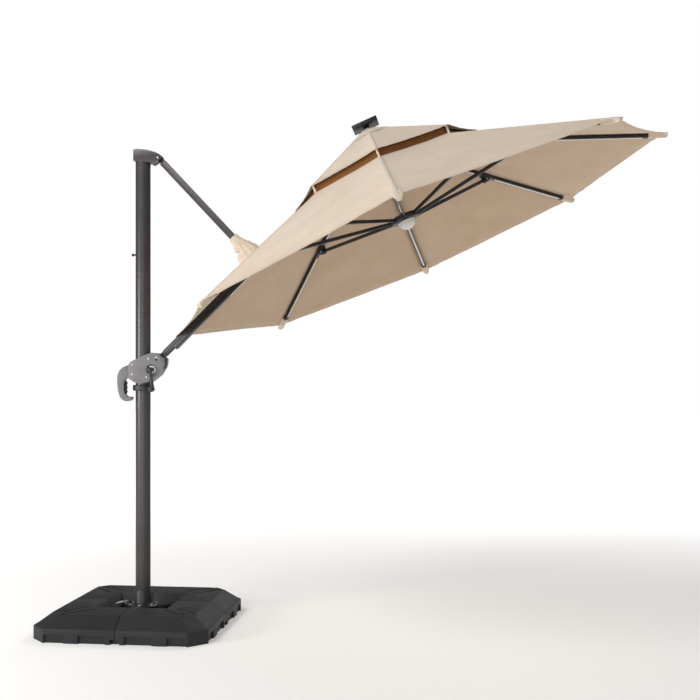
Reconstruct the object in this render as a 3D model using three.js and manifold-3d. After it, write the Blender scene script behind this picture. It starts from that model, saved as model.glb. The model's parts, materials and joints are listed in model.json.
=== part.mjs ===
// Cantilever patio umbrella on a four-tank base.
// Millimetres, +Z up. The origin is on the ground under the mast, and +X runs from the mast
// to the canopy. The canopy is held by a boom, which is its eighth rib, and by a strut.
import * as THREE from 'three';
import { mergeVertices } from 'three/addons/utils/BufferGeometryUtils.js';
import Module from 'manifold-3d';

const wasm = await Module();
wasm.setup();

// ---- Driving dimensions ------------------------------------------------------------------
const RIBS = 8;                   // the boom is one of them
const BOOM_SIDE = 4;              // the boom's place among the ribs, counted from +X
const MAST = { wide: 88, deep: 62, foot: 125, top: 2722 };
const PIVOT_X = 96;               // both linkage pivots stand this far from the mast's axis
const STRUT_TOP_Z = 2697;
const BOOM_FOOT_Z = 1532;
const CANOPY = { x: 1584, z: 2179, tilt: THREE.MathUtils.degToRad(23), radius: 1481 };
const HUB = { height: 600, pivot: 60, radius: 84, core: 46, thick: 34 };
const RIB = { wide: 22, tall: 20, droop: THREE.MathUtils.degToRad(23) };
const FABRIC = { over: 17, thick: 2.4, inner: 520, ventRadius: 560, ventHeight: 452, ventTop: 722 };
const RUNNER = { height: 160, pivot: 70, radius: 86, core: 55, thick: 30 };
const KNUCKLE = { radius: 771, drop: 26 };      // stretcher pin: canopy radius, and depth under a rib
const STRETCHER = { wide: 8, wideMiddle: 16, tall: 20, thinInner: 230, thinOuter: 60 };
const BOOM = { tall: 40, wide: 28 };
const STRUT = { tall: 38, wide: 26, angle: THREE.MathUtils.degToRad(46.7) };
const BASE = { half: 490, rim: 78, top: 138, slope: 92, opening: 176, chamfer: 92, seam: 3 };
const CROSS = { arm: 50, tall: 25, clearance: 2 };
const EAR = 6;                    // thickness of a knuckle's ear
const PIN = 6;
const PIN_HOLE = 6.6;

// ---- Finishes ----------------------------------------------------------------------------
const finish = (color, roughness, metalness) =>
  new THREE.MeshStandardMaterial({ color, roughness, metalness });
const bronze = finish(0x57524f, 0.4, 0.6);
const black = finish(0x1b1b1d, 0.45, 0.4);
const canvasCloth = finish(0xd7c8b6, 0.9, 0);
const charcoal = finish(0x343436, 0.6, 0);
const lens = finish(0xe9e8e4, 0.25, 0);
const steel = finish(0xb9bbbd, 0.3, 1);
const cells = finish(0x0d1016, 0.15, 0.2);
const rubber = finish(0x19191a, 0.8, 0);

// ---- Shared makers -----------------------------------------------------------------------
const umbrella = new THREE.Group();

function add(name, geometry, material, parent = umbrella) {
  const mesh = new THREE.Mesh(geometry, material);
  mesh.name = name;
  parent.add(mesh);
  return mesh;
}

function solid(geometry) {
  const bare = geometry.index ? geometry.toNonIndexed() : geometry.clone();
  bare.deleteAttribute('normal');
  bare.deleteAttribute('uv');
  const merged = mergeVertices(bare, 1e-4);
  const mesh = new wasm.Mesh({
    numProp: 3,
    vertProperties: merged.attributes.position.array,
    triVerts: new Uint32Array(merged.index.array),
  });
  return new wasm.Manifold(mesh);
}

function geometryOf(manifold) {
  const mesh = manifold.getMesh();
  const geometry = new THREE.BufferGeometry();
  geometry.setAttribute('position', new THREE.BufferAttribute(mesh.vertProperties, 3));
  geometry.setIndex(new THREE.BufferAttribute(mesh.triVerts, 1));
  return geometry;
}

const join = (first, ...others) => others.reduce((all, one) => all.add(solid(one)), solid(first));
const cut = (body, ...tools) => tools.reduce((left, tool) => left.subtract(solid(tool)), body);

function slab(x, y, z, wide, deep, tall) {
  return new THREE.BoxGeometry(wide, deep, tall).translate(x, y, z);
}

// A cylinder along Z, X or Y, centred on a point.
function rod(axis, radius, length, x, y, z, sides = 20) {
  const geometry = new THREE.CylinderGeometry(radius, radius, length, sides);
  if (axis === 'z') geometry.rotateX(Math.PI / 2);
  if (axis === 'x') geometry.rotateZ(Math.PI / 2);
  return geometry.translate(x, y, z);
}

// A plate whose outline lies in the XZ plane, between two values of y.
function plate(outline, yLow, yHigh, curveSegments = 8) {
  const settings = { depth: yHigh - yLow, bevelEnabled: false, curveSegments };
  return new THREE.ExtrudeGeometry(outline, settings).rotateX(Math.PI / 2).translate(0, yHigh, 0);
}

// An upright prism whose outline lies in the XY plane.
function prism(outline, zLow, zHigh, curveSegments = 10) {
  const settings = { depth: zHigh - zLow, bevelEnabled: false, curveSegments };
  return new THREE.ExtrudeGeometry(outline, settings).translate(0, 0, zLow);
}

function polygon(points) {
  return new THREE.Shape(points.map(([x, y]) => new THREE.Vector2(x, y)));
}

function ellipse(halfX, halfY) {
  return new THREE.Shape().absellipse(0, 0, halfX, halfY, 0, 2 * Math.PI, false, 0);
}

// A flat bar from (0, 0) along +X, rounded at both ends, in the XZ plane.
function linkOutline(length, tall) {
  const half = tall / 2;
  const outline = new THREE.Shape();
  outline.moveTo(0, -half);
  outline.lineTo(length, -half);
  outline.absarc(length, 0, half, -Math.PI / 2, Math.PI / 2, false);
  outline.lineTo(0, half);
  outline.absarc(0, 0, half, Math.PI / 2, 1.5 * Math.PI, false);
  return outline;
}

function lathe(profile, segments = 28) {
  const points = profile.map(([radius, z]) => new THREE.Vector2(radius, z));
  return new THREE.LatheGeometry(points, segments).rotateX(Math.PI / 2);
}

// A group whose +X runs from a point in the XZ plane at an angle above the horizontal.
function aimed(x, z, angle, parent = umbrella) {
  const group = new THREE.Group();
  group.position.set(x, 0, z);
  group.rotation.y = -angle;
  parent.add(group);
  return group;
}

// ---- Linkage points ----------------------------------------------------------------------
const sinTilt = Math.sin(CANOPY.tilt);
const cosTilt = Math.cos(CANOPY.tilt);
const boomTop = {
  x: CANOPY.x - HUB.height * sinTilt - HUB.pivot * cosTilt,
  z: CANOPY.z + HUB.height * cosTilt - HUB.pivot * sinTilt,
};
const boomAngle = Math.atan2(boomTop.z - BOOM_FOOT_Z, boomTop.x - PIVOT_X);
const boomLength = Math.hypot(boomTop.z - BOOM_FOOT_Z, boomTop.x - PIVOT_X);
const boomDroop = boomAngle - CANOPY.tilt;
// The elbow is where the strut's line meets the boom's line.
const elbowOut = (STRUT_TOP_Z - BOOM_FOOT_Z) / (Math.tan(STRUT.angle) + Math.tan(boomAngle));
const elbow = { x: PIVOT_X + elbowOut, z: BOOM_FOOT_Z + elbowOut * Math.tan(boomAngle) };
const strutLength = Math.hypot(STRUT_TOP_Z - elbow.z, elbow.x - PIVOT_X);

// The canopy's own frame: local Z is its axis, and local X runs away from the mast.
const canopy = aimed(CANOPY.x, CANOPY.z, CANOPY.tilt);

// A group inside the canopy whose +X points outwards at one rib.
function spoke(index) {
  const group = new THREE.Group();
  group.rotation.z = index * 2 * Math.PI / RIBS;
  canopy.add(group);
  return group;
}

// ---- Base --------------------------------------------------------------------------------
function crossBase() {
  const reach = BASE.half - 24;
  const armX = slab(0, 0, CROSS.tall / 2, 2 * reach, CROSS.arm, CROSS.tall);
  const armY = slab(0, 0, CROSS.tall / 2, CROSS.arm, 2 * reach, CROSS.tall);
  const floorPlate = slab(0, 0, 4, 330, 330, 8);
  const riser = rod('z', 62, 72, 0, 0, 44, 32);
  const gussets = [0, 1, 2, 3].map((side) => {
    const fin = polygon([[55, 10], [150, 10], [150, 28], [55, 76]]);
    return plate(fin, -4, 4).rotateZ(Math.PI / 4 + side * Math.PI / 2);
  });
  add('cross_base', geometryOf(join(armX, armY, floorPlate, riser, ...gussets)), black);
}

// One quarter of the square: a filled tank with a sloped shoulder and a cut inner corner.
function tankOutline(inset) {
  const outer = BASE.half - inset;
  const corner = BASE.chamfer - inset * 0.414;
  const inner = BASE.opening + inset * 0.3;
  const seam = BASE.seam / 2;
  return polygon([
    [inner, seam], [outer, seam], [outer, outer - corner], [outer - corner, outer],
    [seam, outer], [seam, inner], [inner, inner],
  ]);
}

function tank(name, turn) {
  let body = join(
    prism(tankOutline(0), 0, BASE.rim - 6),
    frustum(tankOutline(0), tankOutline(6), BASE.rim - 6, BASE.rim),
    frustum(tankOutline(8), tankOutline(BASE.slope), BASE.rim - 2, BASE.top),
  );
  const channel = CROSS.arm / 2 + CROSS.clearance;
  const tall = CROSS.tall + CROSS.clearance;
  body = cut(
    body,
    slab(BASE.half / 2, 0, tall / 2, BASE.half + 60, 2 * channel, tall),
    slab(0, BASE.half / 2, tall / 2, 2 * channel, BASE.half + 60, tall),
    rod('z', 27, 24, 330, 330, BASE.top, 24),
    prism(grooveOutline(-34), BASE.top - 6, BASE.top + 10),
    prism(grooveOutline(22), BASE.top - 6, BASE.top + 10),
    slab(BASE.half, 128, 20, 24, 150, 52),
    slab(BASE.half, 340, 20, 24, 110, 52),
    slab(128, BASE.half, 20, 150, 24, 52),
    slab(340, BASE.half, 20, 110, 24, 52),
  );
  add(name, geometryOf(body).rotateZ(turn), charcoal);
  const cap = lathe([[0, 0], [22, 0], [22, 3], [25, 4], [25, 11], [22, 14], [0, 14]], 20);
  const place = new THREE.Group();
  place.rotation.z = turn;
  umbrella.add(place);
  add(name.replace('tank', 'fill_cap'), cap.translate(330, 330, BASE.top - 11.6), black, place);
}

// A long shallow groove beside the tank's diagonal.
function grooveOutline(side) {
  const start = 225;
  const end = 372;
  const wide = 8.5;
  return polygon([
    [start + side, start - side], [end + side, end - side],
    [end + side - wide, end - side + wide], [start + side - wide, start - side + wide],
  ]);
}

// A closed solid between two outlines with the same number of corners.
function frustum(low, high, zLow, zHigh) {
  const bottom = low.getPoints();
  const top = high.getPoints();
  const flat = THREE.ShapeUtils.triangulateShape(bottom, []);
  const count = bottom.length;
  const positions = [];
  bottom.forEach((p) => positions.push(p.x, p.y, zLow));
  top.forEach((p) => positions.push(p.x, p.y, zHigh));
  const faces = [];
  flat.forEach(([a, b, c]) => faces.push(a, c, b, a + count, b + count, c + count));
  for (let i = 0; i < count; i += 1) {
    const next = (i + 1) % count;
    faces.push(i, next, next + count, i, next + count, i + count);
  }
  const geometry = new THREE.BufferGeometry();
  geometry.setAttribute('position', new THREE.Float32BufferAttribute(positions, 3));
  geometry.setIndex(faces);
  return geometry;
}

crossBase();
tank('tank_front_right', -Math.PI / 2);
tank('tank_rear_right', 0);
tank('tank_rear_left', Math.PI / 2);
tank('tank_front_left', Math.PI);
add('swivel_bearing', lathe([[0, 80.5], [70, 80.5], [78, 84], [78, 99], [0, 99]], 32), steel);

// ---- Mast --------------------------------------------------------------------------------
function tube(outer, inner, zLow, zHigh) {
  return cut(solid(prism(outer, zLow, zHigh, 16)), prism(inner, zLow - 1, zHigh + 1, 16));
}

const PEDAL = { x: -96, z: 124, pivot: 5 };

function swivelFlange() {
  const disc = lathe([[0, 99.6], [89, 99.6], [89, 112], [84, 117], [58, 117], [54, 124], [0, 124]], 36);
  const socket = prism(ellipse(52, 39), 118, 200, 12);
  const bore = prism(ellipse(MAST.wide / 2 + 0.6, MAST.deep / 2 + 0.6), 124, 210, 16);
  const lugs = [-1, 1].map((side) => {
    const low = side > 0 ? 23 : -28;
    const lug = polygon([[-70, 104], [-96, 104], [-106, 118], [-106, 134], [-86, 134], [-70, 116]]);
    return plate(lug, low, low + 5);
  });
  const pinHole = rod('y', PEDAL.pivot + 0.6, 80, PEDAL.x, 0, PEDAL.z, 14);
  add('swivel_flange', geometryOf(cut(join(disc, socket, ...lugs), bore, pinHole)), black);
}

function mastCap() {
  const z = MAST.top;
  const half = MAST.wide / 2;
  const side = polygon([
    [-half - 4, z - 40], [half + 2, z - 52], [62, z - 62], [96, z - 42], [113, z - 32],
    [115, z - 17], [104, z - 4], [80, z + 8], [30, z + 22], [-30, z + 28], [-half - 4, z + 24],
  ]);
  const bore = prism(ellipse(half + 0.6, MAST.deep / 2 + 0.6), z - 90, z + 0.5, 16);
  const jaw = slab(102, 0, z - 20, 84, STRUT.wide - 6.8, 120);
  const pinHole = rod('y', PIN_HOLE, 90, PIVOT_X, 0, STRUT_TOP_Z, 16);
  add('mast_cap', geometryOf(cut(solid(plate(side, -35, 35)), bore, jaw, pinHole)), bronze);
}

swivelFlange();
const mastOuter = ellipse(MAST.wide / 2, MAST.deep / 2);
const mastInner = ellipse(MAST.wide / 2 - 2.5, MAST.deep / 2 - 2.5);
add('mast_tube', geometryOf(tube(mastOuter, mastInner, MAST.foot, MAST.top)), bronze);
mastCap();
const stopKnob = join(rod('x', 5, 16, -52.4, 0, 2141, 12), rod('x', 9, 9, -61, 0, 2141, 16));
add('rope_stop_knob', geometryOf(stopKnob), black);

// ---- Foot pedal that locks the swivel ------------------------------------------------------
function footPedal() {
  const side = polygon([
    [-96, 121], [-90, 126], [-104, 133], [-150, 124], [-164, 113], [-160, 109], [-148, 118],
    [-108, 126],
  ]);
  const pivot = rod('y', PEDAL.pivot, 60, PEDAL.x, 0, PEDAL.z, 14);
  add('foot_pedal', geometryOf(join(plate(side, -20, 20), pivot)), steel);
}

footPedal();

// ---- Slider with its winch, grip and trigger -----------------------------------------------
const SLIDER = { deep: 54, drumX: 66, drumZ: 1474, drumY: -36 };

function sliderOutline() {
  return polygon([
    [-58, 1520], [28, 1560], [66, 1572], [100, 1568], [138, 1538], [134, 1496], [104, 1446],
    [52, 1406], [-2, 1390], [-40, 1404], [-70, 1424], [-70, 1500],
  ]);
}

function sliderShell(name, yLow, yHigh) {
  const boomSlot = slab(151, 0, 1555, 180, BOOM.wide + 16, 150);
  const drumRoom = rod('y', 30, 40, SLIDER.drumX, SLIDER.drumY + 2, SLIDER.drumZ, 24);
  const axleHole = rod('y', 8, 60, SLIDER.drumX, -50, SLIDER.drumZ, 20);
  const recess = rod('y', 21, 12, SLIDER.drumX, -SLIDER.deep, SLIDER.drumZ, 24);
  const bore = prism(ellipse(MAST.wide / 2 + 1.5, MAST.deep / 2 + 1.5), 1300, 1650, 16);
  const pinHole = rod('y', PIN_HOLE, 140, PIVOT_X, 0, BOOM_FOOT_Z, 16);
  const body = solid(plate(sliderOutline(), yLow, yHigh));
  add(name, geometryOf(cut(body, bore, boomSlot, drumRoom, axleHole, recess, pinHole)), bronze);
}

sliderShell('slider_cover_front', -SLIDER.deep, -0.2);
sliderShell('slider_cover_rear', 0.2, SLIDER.deep);

function sliderCollar() {
  const skirt = prism(ellipse(60, 46), 1352, 1386, 14);
  const bore = prism(ellipse(MAST.wide / 2 + 1, MAST.deep / 2 + 1), 1340, 1400, 16);
  const bodySide = solid(plate(sliderOutline(), -80, 80));
  add('slider_collar', geometryOf(cut(solid(skirt), bore).subtract(bodySide)), black);
}

sliderCollar();

// The C-shaped grip hangs on the mast side away from the canopy.
function gripHandle() {
  const outer = new THREE.Shape();
  outer.moveTo(-70.5, 1508);
  outer.lineTo(-112, 1490);
  outer.quadraticCurveTo(-148, 1470, -150, 1425);
  outer.quadraticCurveTo(-150, 1350, -134, 1318);
  outer.quadraticCurveTo(-112, 1280, -72, 1296);
  outer.quadraticCurveTo(-58, 1304, -64, 1318);
  outer.quadraticCurveTo(-98, 1310, -106, 1340);
  outer.quadraticCurveTo(-114, 1380, -106, 1412);
  outer.quadraticCurveTo(-100, 1432, -70.5, 1434);
  outer.closePath();
  const seat = slab(-110, 0, 1372, 12.6, 27, 78);
  add('grip_handle', geometryOf(cut(solid(plate(outer, -19, 19, 6)), seat)), black);
}

gripHandle();

// The squeezed trigger lies in the grip's inner face, waved for three fingers.
function releaseTrigger() {
  const outline = new THREE.Shape();
  outline.moveTo(-108, 1336);
  const waves = 36;
  for (let i = 0; i <= waves; i += 1) {
    const share = i / waves;
    const swell = 3 * Math.sin(share * 3 * Math.PI) ** 2;
    outline.lineTo(-99 + swell, 1336 + 72 * share);
  }
  outline.lineTo(-108, 1408);
  outline.closePath();
  add('release_trigger', plate(outline, -13, 13), rubber);
}

releaseTrigger();

// ---- Winch crank -----------------------------------------------------------------------------
const CRANK = { x: 84, z: 1362, front: -88, back: -78 };

function crank() {
  const length = Math.hypot(CRANK.x - SLIDER.drumX, CRANK.z - SLIDER.drumZ);
  const down = Math.atan2(CRANK.z - SLIDER.drumZ, CRANK.x - SLIDER.drumX);
  const arm = plate(linkOutline(length, 17), CRANK.front, CRANK.back, 6)
    .rotateY(-down)
    .translate(SLIDER.drumX, 0, SLIDER.drumZ);
  const axle = rod('y', 7, 55, SLIDER.drumX, -54, SLIDER.drumZ, 20);
  const boss = rod('y', 15, 20, SLIDER.drumX, -74, SLIDER.drumZ, 20);
  const spindle = rod('y', 5, 16, CRANK.x, CRANK.front - 6, CRANK.z, 14);
  add('crank_arm', geometryOf(join(arm, axle, boss, spindle)), black);
}

crank();
const knobProfile = [[0, 0], [13, 0], [15, 4], [13, 12], [13, 24], [17, 32], [16, 38], [9, 43], [0, 43]];
const knobShape = cut(
  solid(lathe(knobProfile, 20)),
  rod('z', 5.6, 30, 0, 0, 0, 14),
);
const knobPlace = geometryOf(knobShape).rotateX(Math.PI / 2)
  .translate(CRANK.x, CRANK.front - 0.6, CRANK.z);
add('crank_knob', knobPlace, black);
const drumProfile = [[0, -10], [25, -10], [25, -8], [15, -8], [15, 8], [25, 8], [25, 10], [0, 10]];
const drumShape = cut(solid(lathe(drumProfile, 24)), rod('z', 7.4, 40, 0, 0, 0, 20));
const drumPlace = geometryOf(drumShape).rotateX(Math.PI / 2)
  .translate(SLIDER.drumX, SLIDER.drumY, SLIDER.drumZ);
add('winding_drum', drumPlace, steel);

// ---- Strut -----------------------------------------------------------------------------------
// Its +X runs from the mast cap's pivot down to the elbow on the boom.
function strut() {
  const group = aimed(PIVOT_X, STRUT_TOP_Z, -STRUT.angle);
  const lug = plate(linkOutline(60, 26), -(STRUT.wide / 2 - 4), STRUT.wide / 2 - 4);
  const beam = slab((strutLength + 32) / 2 - 35, 0, 0, strutLength - 102, STRUT.wide, STRUT.tall);
  const bridge = slab(strutLength - 66, 0, 0, 24, 2 * FORK.outer, STRUT.tall);
  const cheeks = [-1, 1].map((side) => {
    const low = side > 0 ? FORK.inner : -FORK.outer;
    return plate(linkOutline(62, 34), low, low + FORK.outer - FORK.inner)
      .translate(strutLength - 62, 0, 0);
  });
  const body = cut(
    join(beam, lug, bridge, ...cheeks),
    rod('y', PIN_HOLE, 90, 0, 0, 0, 16),
    rod('y', PIN_HOLE, 90, strutLength, 0, 0, 16),
  );
  add('strut', geometryOf(body), bronze, group);
  add('strut_top_pin', rod('y', PIN, 66, 0, 0, 0, 16), steel, group);
  add('elbow_pin', rod('y', PIN, 2 * FORK.outer + 8, strutLength, 0, 0, 16), steel, group);
}

const FORK = { inner: 19.5, outer: 26 };
strut();

// ---- Boom ------------------------------------------------------------------------------------
// Its +X runs from the slider's pivot up to the top hub's pivot.
const boomGroup = aimed(PIVOT_X, BOOM_FOOT_Z, boomAngle);
const elbowAlong = boomLength - Math.hypot(boomTop.x - elbow.x, boomTop.z - elbow.z);
const knuckleAlong = (() => {
  const outward = KNUCKLE.radius - HUB.pivot;
  return boomLength - outward * Math.cos(boomDroop) - knuckleFall() * Math.sin(boomDroop);
})();
const knuckleUnderBoom = knuckleFall() * Math.cos(boomDroop)
  - (KNUCKLE.radius - HUB.pivot) * Math.sin(boomDroop);

// How far a stretcher's outer pin lies under the hub's pivots.
function knuckleFall() {
  const outward = KNUCKLE.radius - HUB.pivot;
  return (outward * Math.sin(RIB.droop) + KNUCKLE.drop) / Math.cos(RIB.droop);
}

function boom() {
  const { tall, wide } = BOOM;
  const footLug = plate(linkOutline(70, 34), -wide / 2 + 3, wide / 2 - 3);
  const topLug = plate(linkOutline(60, 16), -RIB.wide / 2, RIB.wide / 2)
    .translate(boomLength - 60, 0, 0);
  const profile = polygon([
    [-wide / 2, -tall / 2 + 7], [-wide / 2 + 7, -tall / 2], [wide / 2 - 7, -tall / 2],
    [wide / 2, -tall / 2 + 7], [wide / 2, tall / 2 - 7], [wide / 2 - 7, tall / 2],
    [-wide / 2 + 7, tall / 2], [-wide / 2, tall / 2 - 7],
  ]);
  const beam = prism(profile, 0, boomLength - 96).rotateX(Math.PI / 2).rotateZ(Math.PI / 2);
  beam.translate(50, 0, 0);
  const pinHoles = [0, elbowAlong].map((x) => rod('y', PIN_HOLE, 80, x, 0, 0, 16));
  const body = cut(join(beam, footLug, topLug), ...pinHoles);
  add('boom', geometryOf(body), bronze, boomGroup);
  add('boom_foot_pin', rod('y', PIN, wide + 14, 0, 0, 0, 16), steel, boomGroup);

  // The black channel under the boom is this side's rib. It carries the knuckle's two ears.
  const start = 118;
  const end = boomLength - 48;
  const middle = (start + end) / 2;
  const outer = slab(middle, 0, -tall / 2 - 1, end - start, wide + 9, 22);
  const inner = slab(middle, 0, 0.5, end - start + 2, wide + 2, tall + 2);
  const ears = [-1, 1].map((side) => {
    const low = side > 0 ? STRETCHER.wide / 2 + 0.8 : -STRETCHER.wide / 2 - 0.8 - EAR;
    const drop = knuckleUnderBoom + 13;
    const ear = polygon([[-30, -29], [30, -29], [14, -drop], [-14, -drop]]);
    return plate(ear, low, low + EAR).translate(knuckleAlong, 0, 0);
  });
  const channel = cut(solid(outer), inner);
  const rib = ears.reduce((all, ear) => all.add(solid(ear)), channel);
  add('boom_rib', geometryOf(rib), black, boomGroup);
}

boom();

// ---- Top hub, ribs, stretchers and runner ------------------------------------------------------
// A disc with a radial slot at each rib.
function slottedDisc(radius, core, slotWide, zLow, zHigh) {
  const slots = [];
  for (let k = 0; k < RIBS; k += 1) {
    const long = radius - core + 20;
    const slot = slab(core + long / 2, 0, (zLow + zHigh) / 2, long, slotWide, zHigh - zLow + 4);
    slots.push(slot.rotateZ(k * 2 * Math.PI / RIBS));
  }
  return cut(solid(rod('z', radius, zHigh - zLow, 0, 0, (zLow + zHigh) / 2, 48)), ...slots);
}

const hubDisc = slottedDisc(
  HUB.radius, HUB.core, RIB.wide + 2, HUB.height - HUB.thick / 2, HUB.height + HUB.thick / 2,
);
const hubPost = rod('z', 20, FABRIC.ventTop - HUB.height + 2, 0, 0, (FABRIC.ventTop + HUB.height) / 2, 20);
add('top_hub', geometryOf(hubDisc.add(solid(hubPost))), black, canopy);

const ribLength = (CANOPY.radius - HUB.pivot) / Math.cos(RIB.droop);
const outwardKnuckle = KNUCKLE.radius - HUB.pivot;
const knuckleOnRib = (outwardKnuckle + KNUCKLE.drop * Math.sin(RIB.droop)) / Math.cos(RIB.droop);
const knuckleHeight = HUB.height - knuckleFall();

function rib(index) {
  const place = new THREE.Group();
  place.position.set(HUB.pivot, 0, HUB.height);
  place.rotation.y = RIB.droop;
  spoke(index).add(place);
  const bar = plate(linkOutline(ribLength, RIB.tall), -RIB.wide / 2, RIB.wide / 2, 5);
  const ears = [-1, 1].map((side) => {
    const low = side > 0 ? STRETCHER.wide / 2 + 0.8 : -STRETCHER.wide / 2 - 0.8 - EAR;
    const ear = polygon([[-30, -4], [30, -4], [14, -KNUCKLE.drop - 13], [-14, -KNUCKLE.drop - 13]]);
    return plate(ear, low, low + EAR).translate(knuckleOnRib, 0, 0);
  });
  add(`rib_${index}`, geometryOf(join(bar, ...ears)), black, place);
}

function stretcher(index) {
  const rise = knuckleHeight - RUNNER.height;
  const reach = KNUCKLE.radius - RUNNER.pivot;
  const place = new THREE.Group();
  place.position.set(RUNNER.pivot, 0, RUNNER.height);
  place.rotation.y = -Math.atan2(rise, reach);
  spoke(index).add(place);
  const length = Math.hypot(rise, reach);
  const blade = plate(linkOutline(length, STRETCHER.tall), -STRETCHER.wide / 2, STRETCHER.wide / 2, 5);
  const middleLong = length - STRETCHER.thinInner - STRETCHER.thinOuter;
  const middle = slab(
    STRETCHER.thinInner + middleLong / 2, 0, 0, middleLong, STRETCHER.wideMiddle, STRETCHER.tall,
  );
  add(`stretcher_${index}`, geometryOf(join(blade, middle)), black, place);
}

for (let index = 0; index < RIBS; index += 1) {
  if (index !== BOOM_SIDE) rib(index);
  stretcher(index);
}

const runnerDisc = slottedDisc(
  RUNNER.radius, RUNNER.core, STRETCHER.wide + 2, RUNNER.height - RUNNER.thick / 2,
  RUNNER.height + RUNNER.thick / 2,
);
add('runner_hub', geometryOf(runnerDisc), black, canopy);
const domeTop = RUNNER.height - RUNNER.thick / 2 - 0.4;
const domeProfile = [[0, domeTop - 50]];
for (let step = 1; step <= 8; step += 1) {
  const turn = step / 8 * Math.PI / 2;
  domeProfile.push([48 * Math.sin(turn), domeTop - 8 - 42 * Math.cos(turn)]);
}
domeProfile.push([48, domeTop], [0, domeTop]);
add('light_dome', lathe(domeProfile, 32), lens, canopy);

// ---- Canopy cloth ------------------------------------------------------------------------------
// Height of the cloth over one rib line at a radius, in the canopy's frame.
function clothHeight(index, radius) {
  const droop = index === BOOM_SIDE ? boomDroop : RIB.droop;
  const over = index === BOOM_SIDE ? BOOM.tall / 2 / Math.cos(droop) + 6 : FABRIC.over;
  return HUB.height - (radius - HUB.pivot) * Math.tan(droop) + over;
}

// A closed eight-sided shell through rings of corner points.
function clothShell(rings) {
  const positions = [];
  const faces = [];
  const layers = rings.length;
  for (const lift of [0, -FABRIC.thick]) {
    rings.forEach(({ radius, height }) => {
      for (let k = 0; k < RIBS; k += 1) {
        const turn = k * 2 * Math.PI / RIBS;
        positions.push(radius * Math.cos(turn), radius * Math.sin(turn), height(k) + lift);
      }
    });
  }
  const at = (side, layer, k) => (side * layers + layer) * RIBS + (k % RIBS);
  const quad = (a, b, c, d) => faces.push(a, b, c, a, c, d);
  for (let k = 0; k < RIBS; k += 1) {
    for (let layer = 0; layer + 1 < layers; layer += 1) {
      quad(at(0, layer, k), at(0, layer + 1, k), at(0, layer + 1, k + 1), at(0, layer, k + 1));
      quad(at(1, layer, k), at(1, layer, k + 1), at(1, layer + 1, k + 1), at(1, layer + 1, k));
    }
    quad(at(0, 0, k), at(0, 0, k + 1), at(1, 0, k + 1), at(1, 0, k));
    const last = layers - 1;
    quad(at(0, last, k + 1), at(0, last, k), at(1, last, k), at(1, last, k + 1));
  }
  const geometry = new THREE.BufferGeometry();
  geometry.setAttribute('position', new THREE.Float32BufferAttribute(positions, 3));
  geometry.setIndex(faces);
  return geometry;
}

const mainRings = [FABRIC.inner, CANOPY.radius].map((radius) => ({
  radius, height: (k) => clothHeight(k, radius),
}));
const mainCloth = solid(clothShell(mainRings));
// The strut comes through a slit along the boom's own rib line.
const slitPlace = new THREE.Matrix4()
  .makeRotationY(CANOPY.tilt)
  .multiply(new THREE.Matrix4().makeTranslation(elbow.x - CANOPY.x, 0, elbow.z - CANOPY.z));
const slit = slab(0, 0, 0, 190, 2 * FORK.outer + 10, 190)
  .applyMatrix4(new THREE.Matrix4().makeRotationY(-boomAngle))
  .applyMatrix4(slitPlace);
add('main_canopy', geometryOf(mainCloth.subtract(solid(slit))), canvasCloth, canopy);

const ventRings = [
  { radius: 26, height: () => FABRIC.ventTop - 12 },
  { radius: FABRIC.ventRadius, height: () => FABRIC.ventHeight },
];
add('vent_canopy', clothShell(ventRings), canvasCloth, canopy);

// ---- Solar panel on the apex ---------------------------------------------------------------------
const PANEL = { long: 150, wide: 150, low: FABRIC.ventTop + 3.4, tall: 20 };
const panelBox = slab(0, 0, PANEL.low + PANEL.tall / 2, PANEL.long, PANEL.wide, PANEL.tall);
const panelWell = slab(0, 0, PANEL.low + PANEL.tall, PANEL.long - 22, PANEL.wide - 22, 12);
add('solar_housing', geometryOf(cut(solid(panelBox), panelWell)), black, canopy);
const glassTop = PANEL.low + PANEL.tall - 2;
add('solar_panel', slab(0, 0, glassTop - 1.8, PANEL.long - 23, PANEL.wide - 23, 3.6), cells, canopy);

// ---- Sleeve on the cloth round the strut -----------------------------------------------------------
function strutBoot() {
  const group = aimed(elbow.x, elbow.z, boomAngle);
  const outer = frustum(boxOutline(66, 46), boxOutline(34, 36), 36, 100);
  const inner = frustum(boxOutline(60, 40), boxOutline(30, 31), 35, 101);
  add('strut_boot', geometryOf(cut(solid(outer), inner)), canvasCloth, group);
}

function boxOutline(halfX, halfY) {
  return polygon([[-halfX, -halfY], [halfX, -halfY], [halfX, halfY], [-halfX, halfY]]);
}

strutBoot();

export default umbrella;
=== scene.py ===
import json
import math

import bmesh
import bpy
import numpy as np
from mathutils import Matrix, Vector, noise


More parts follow.
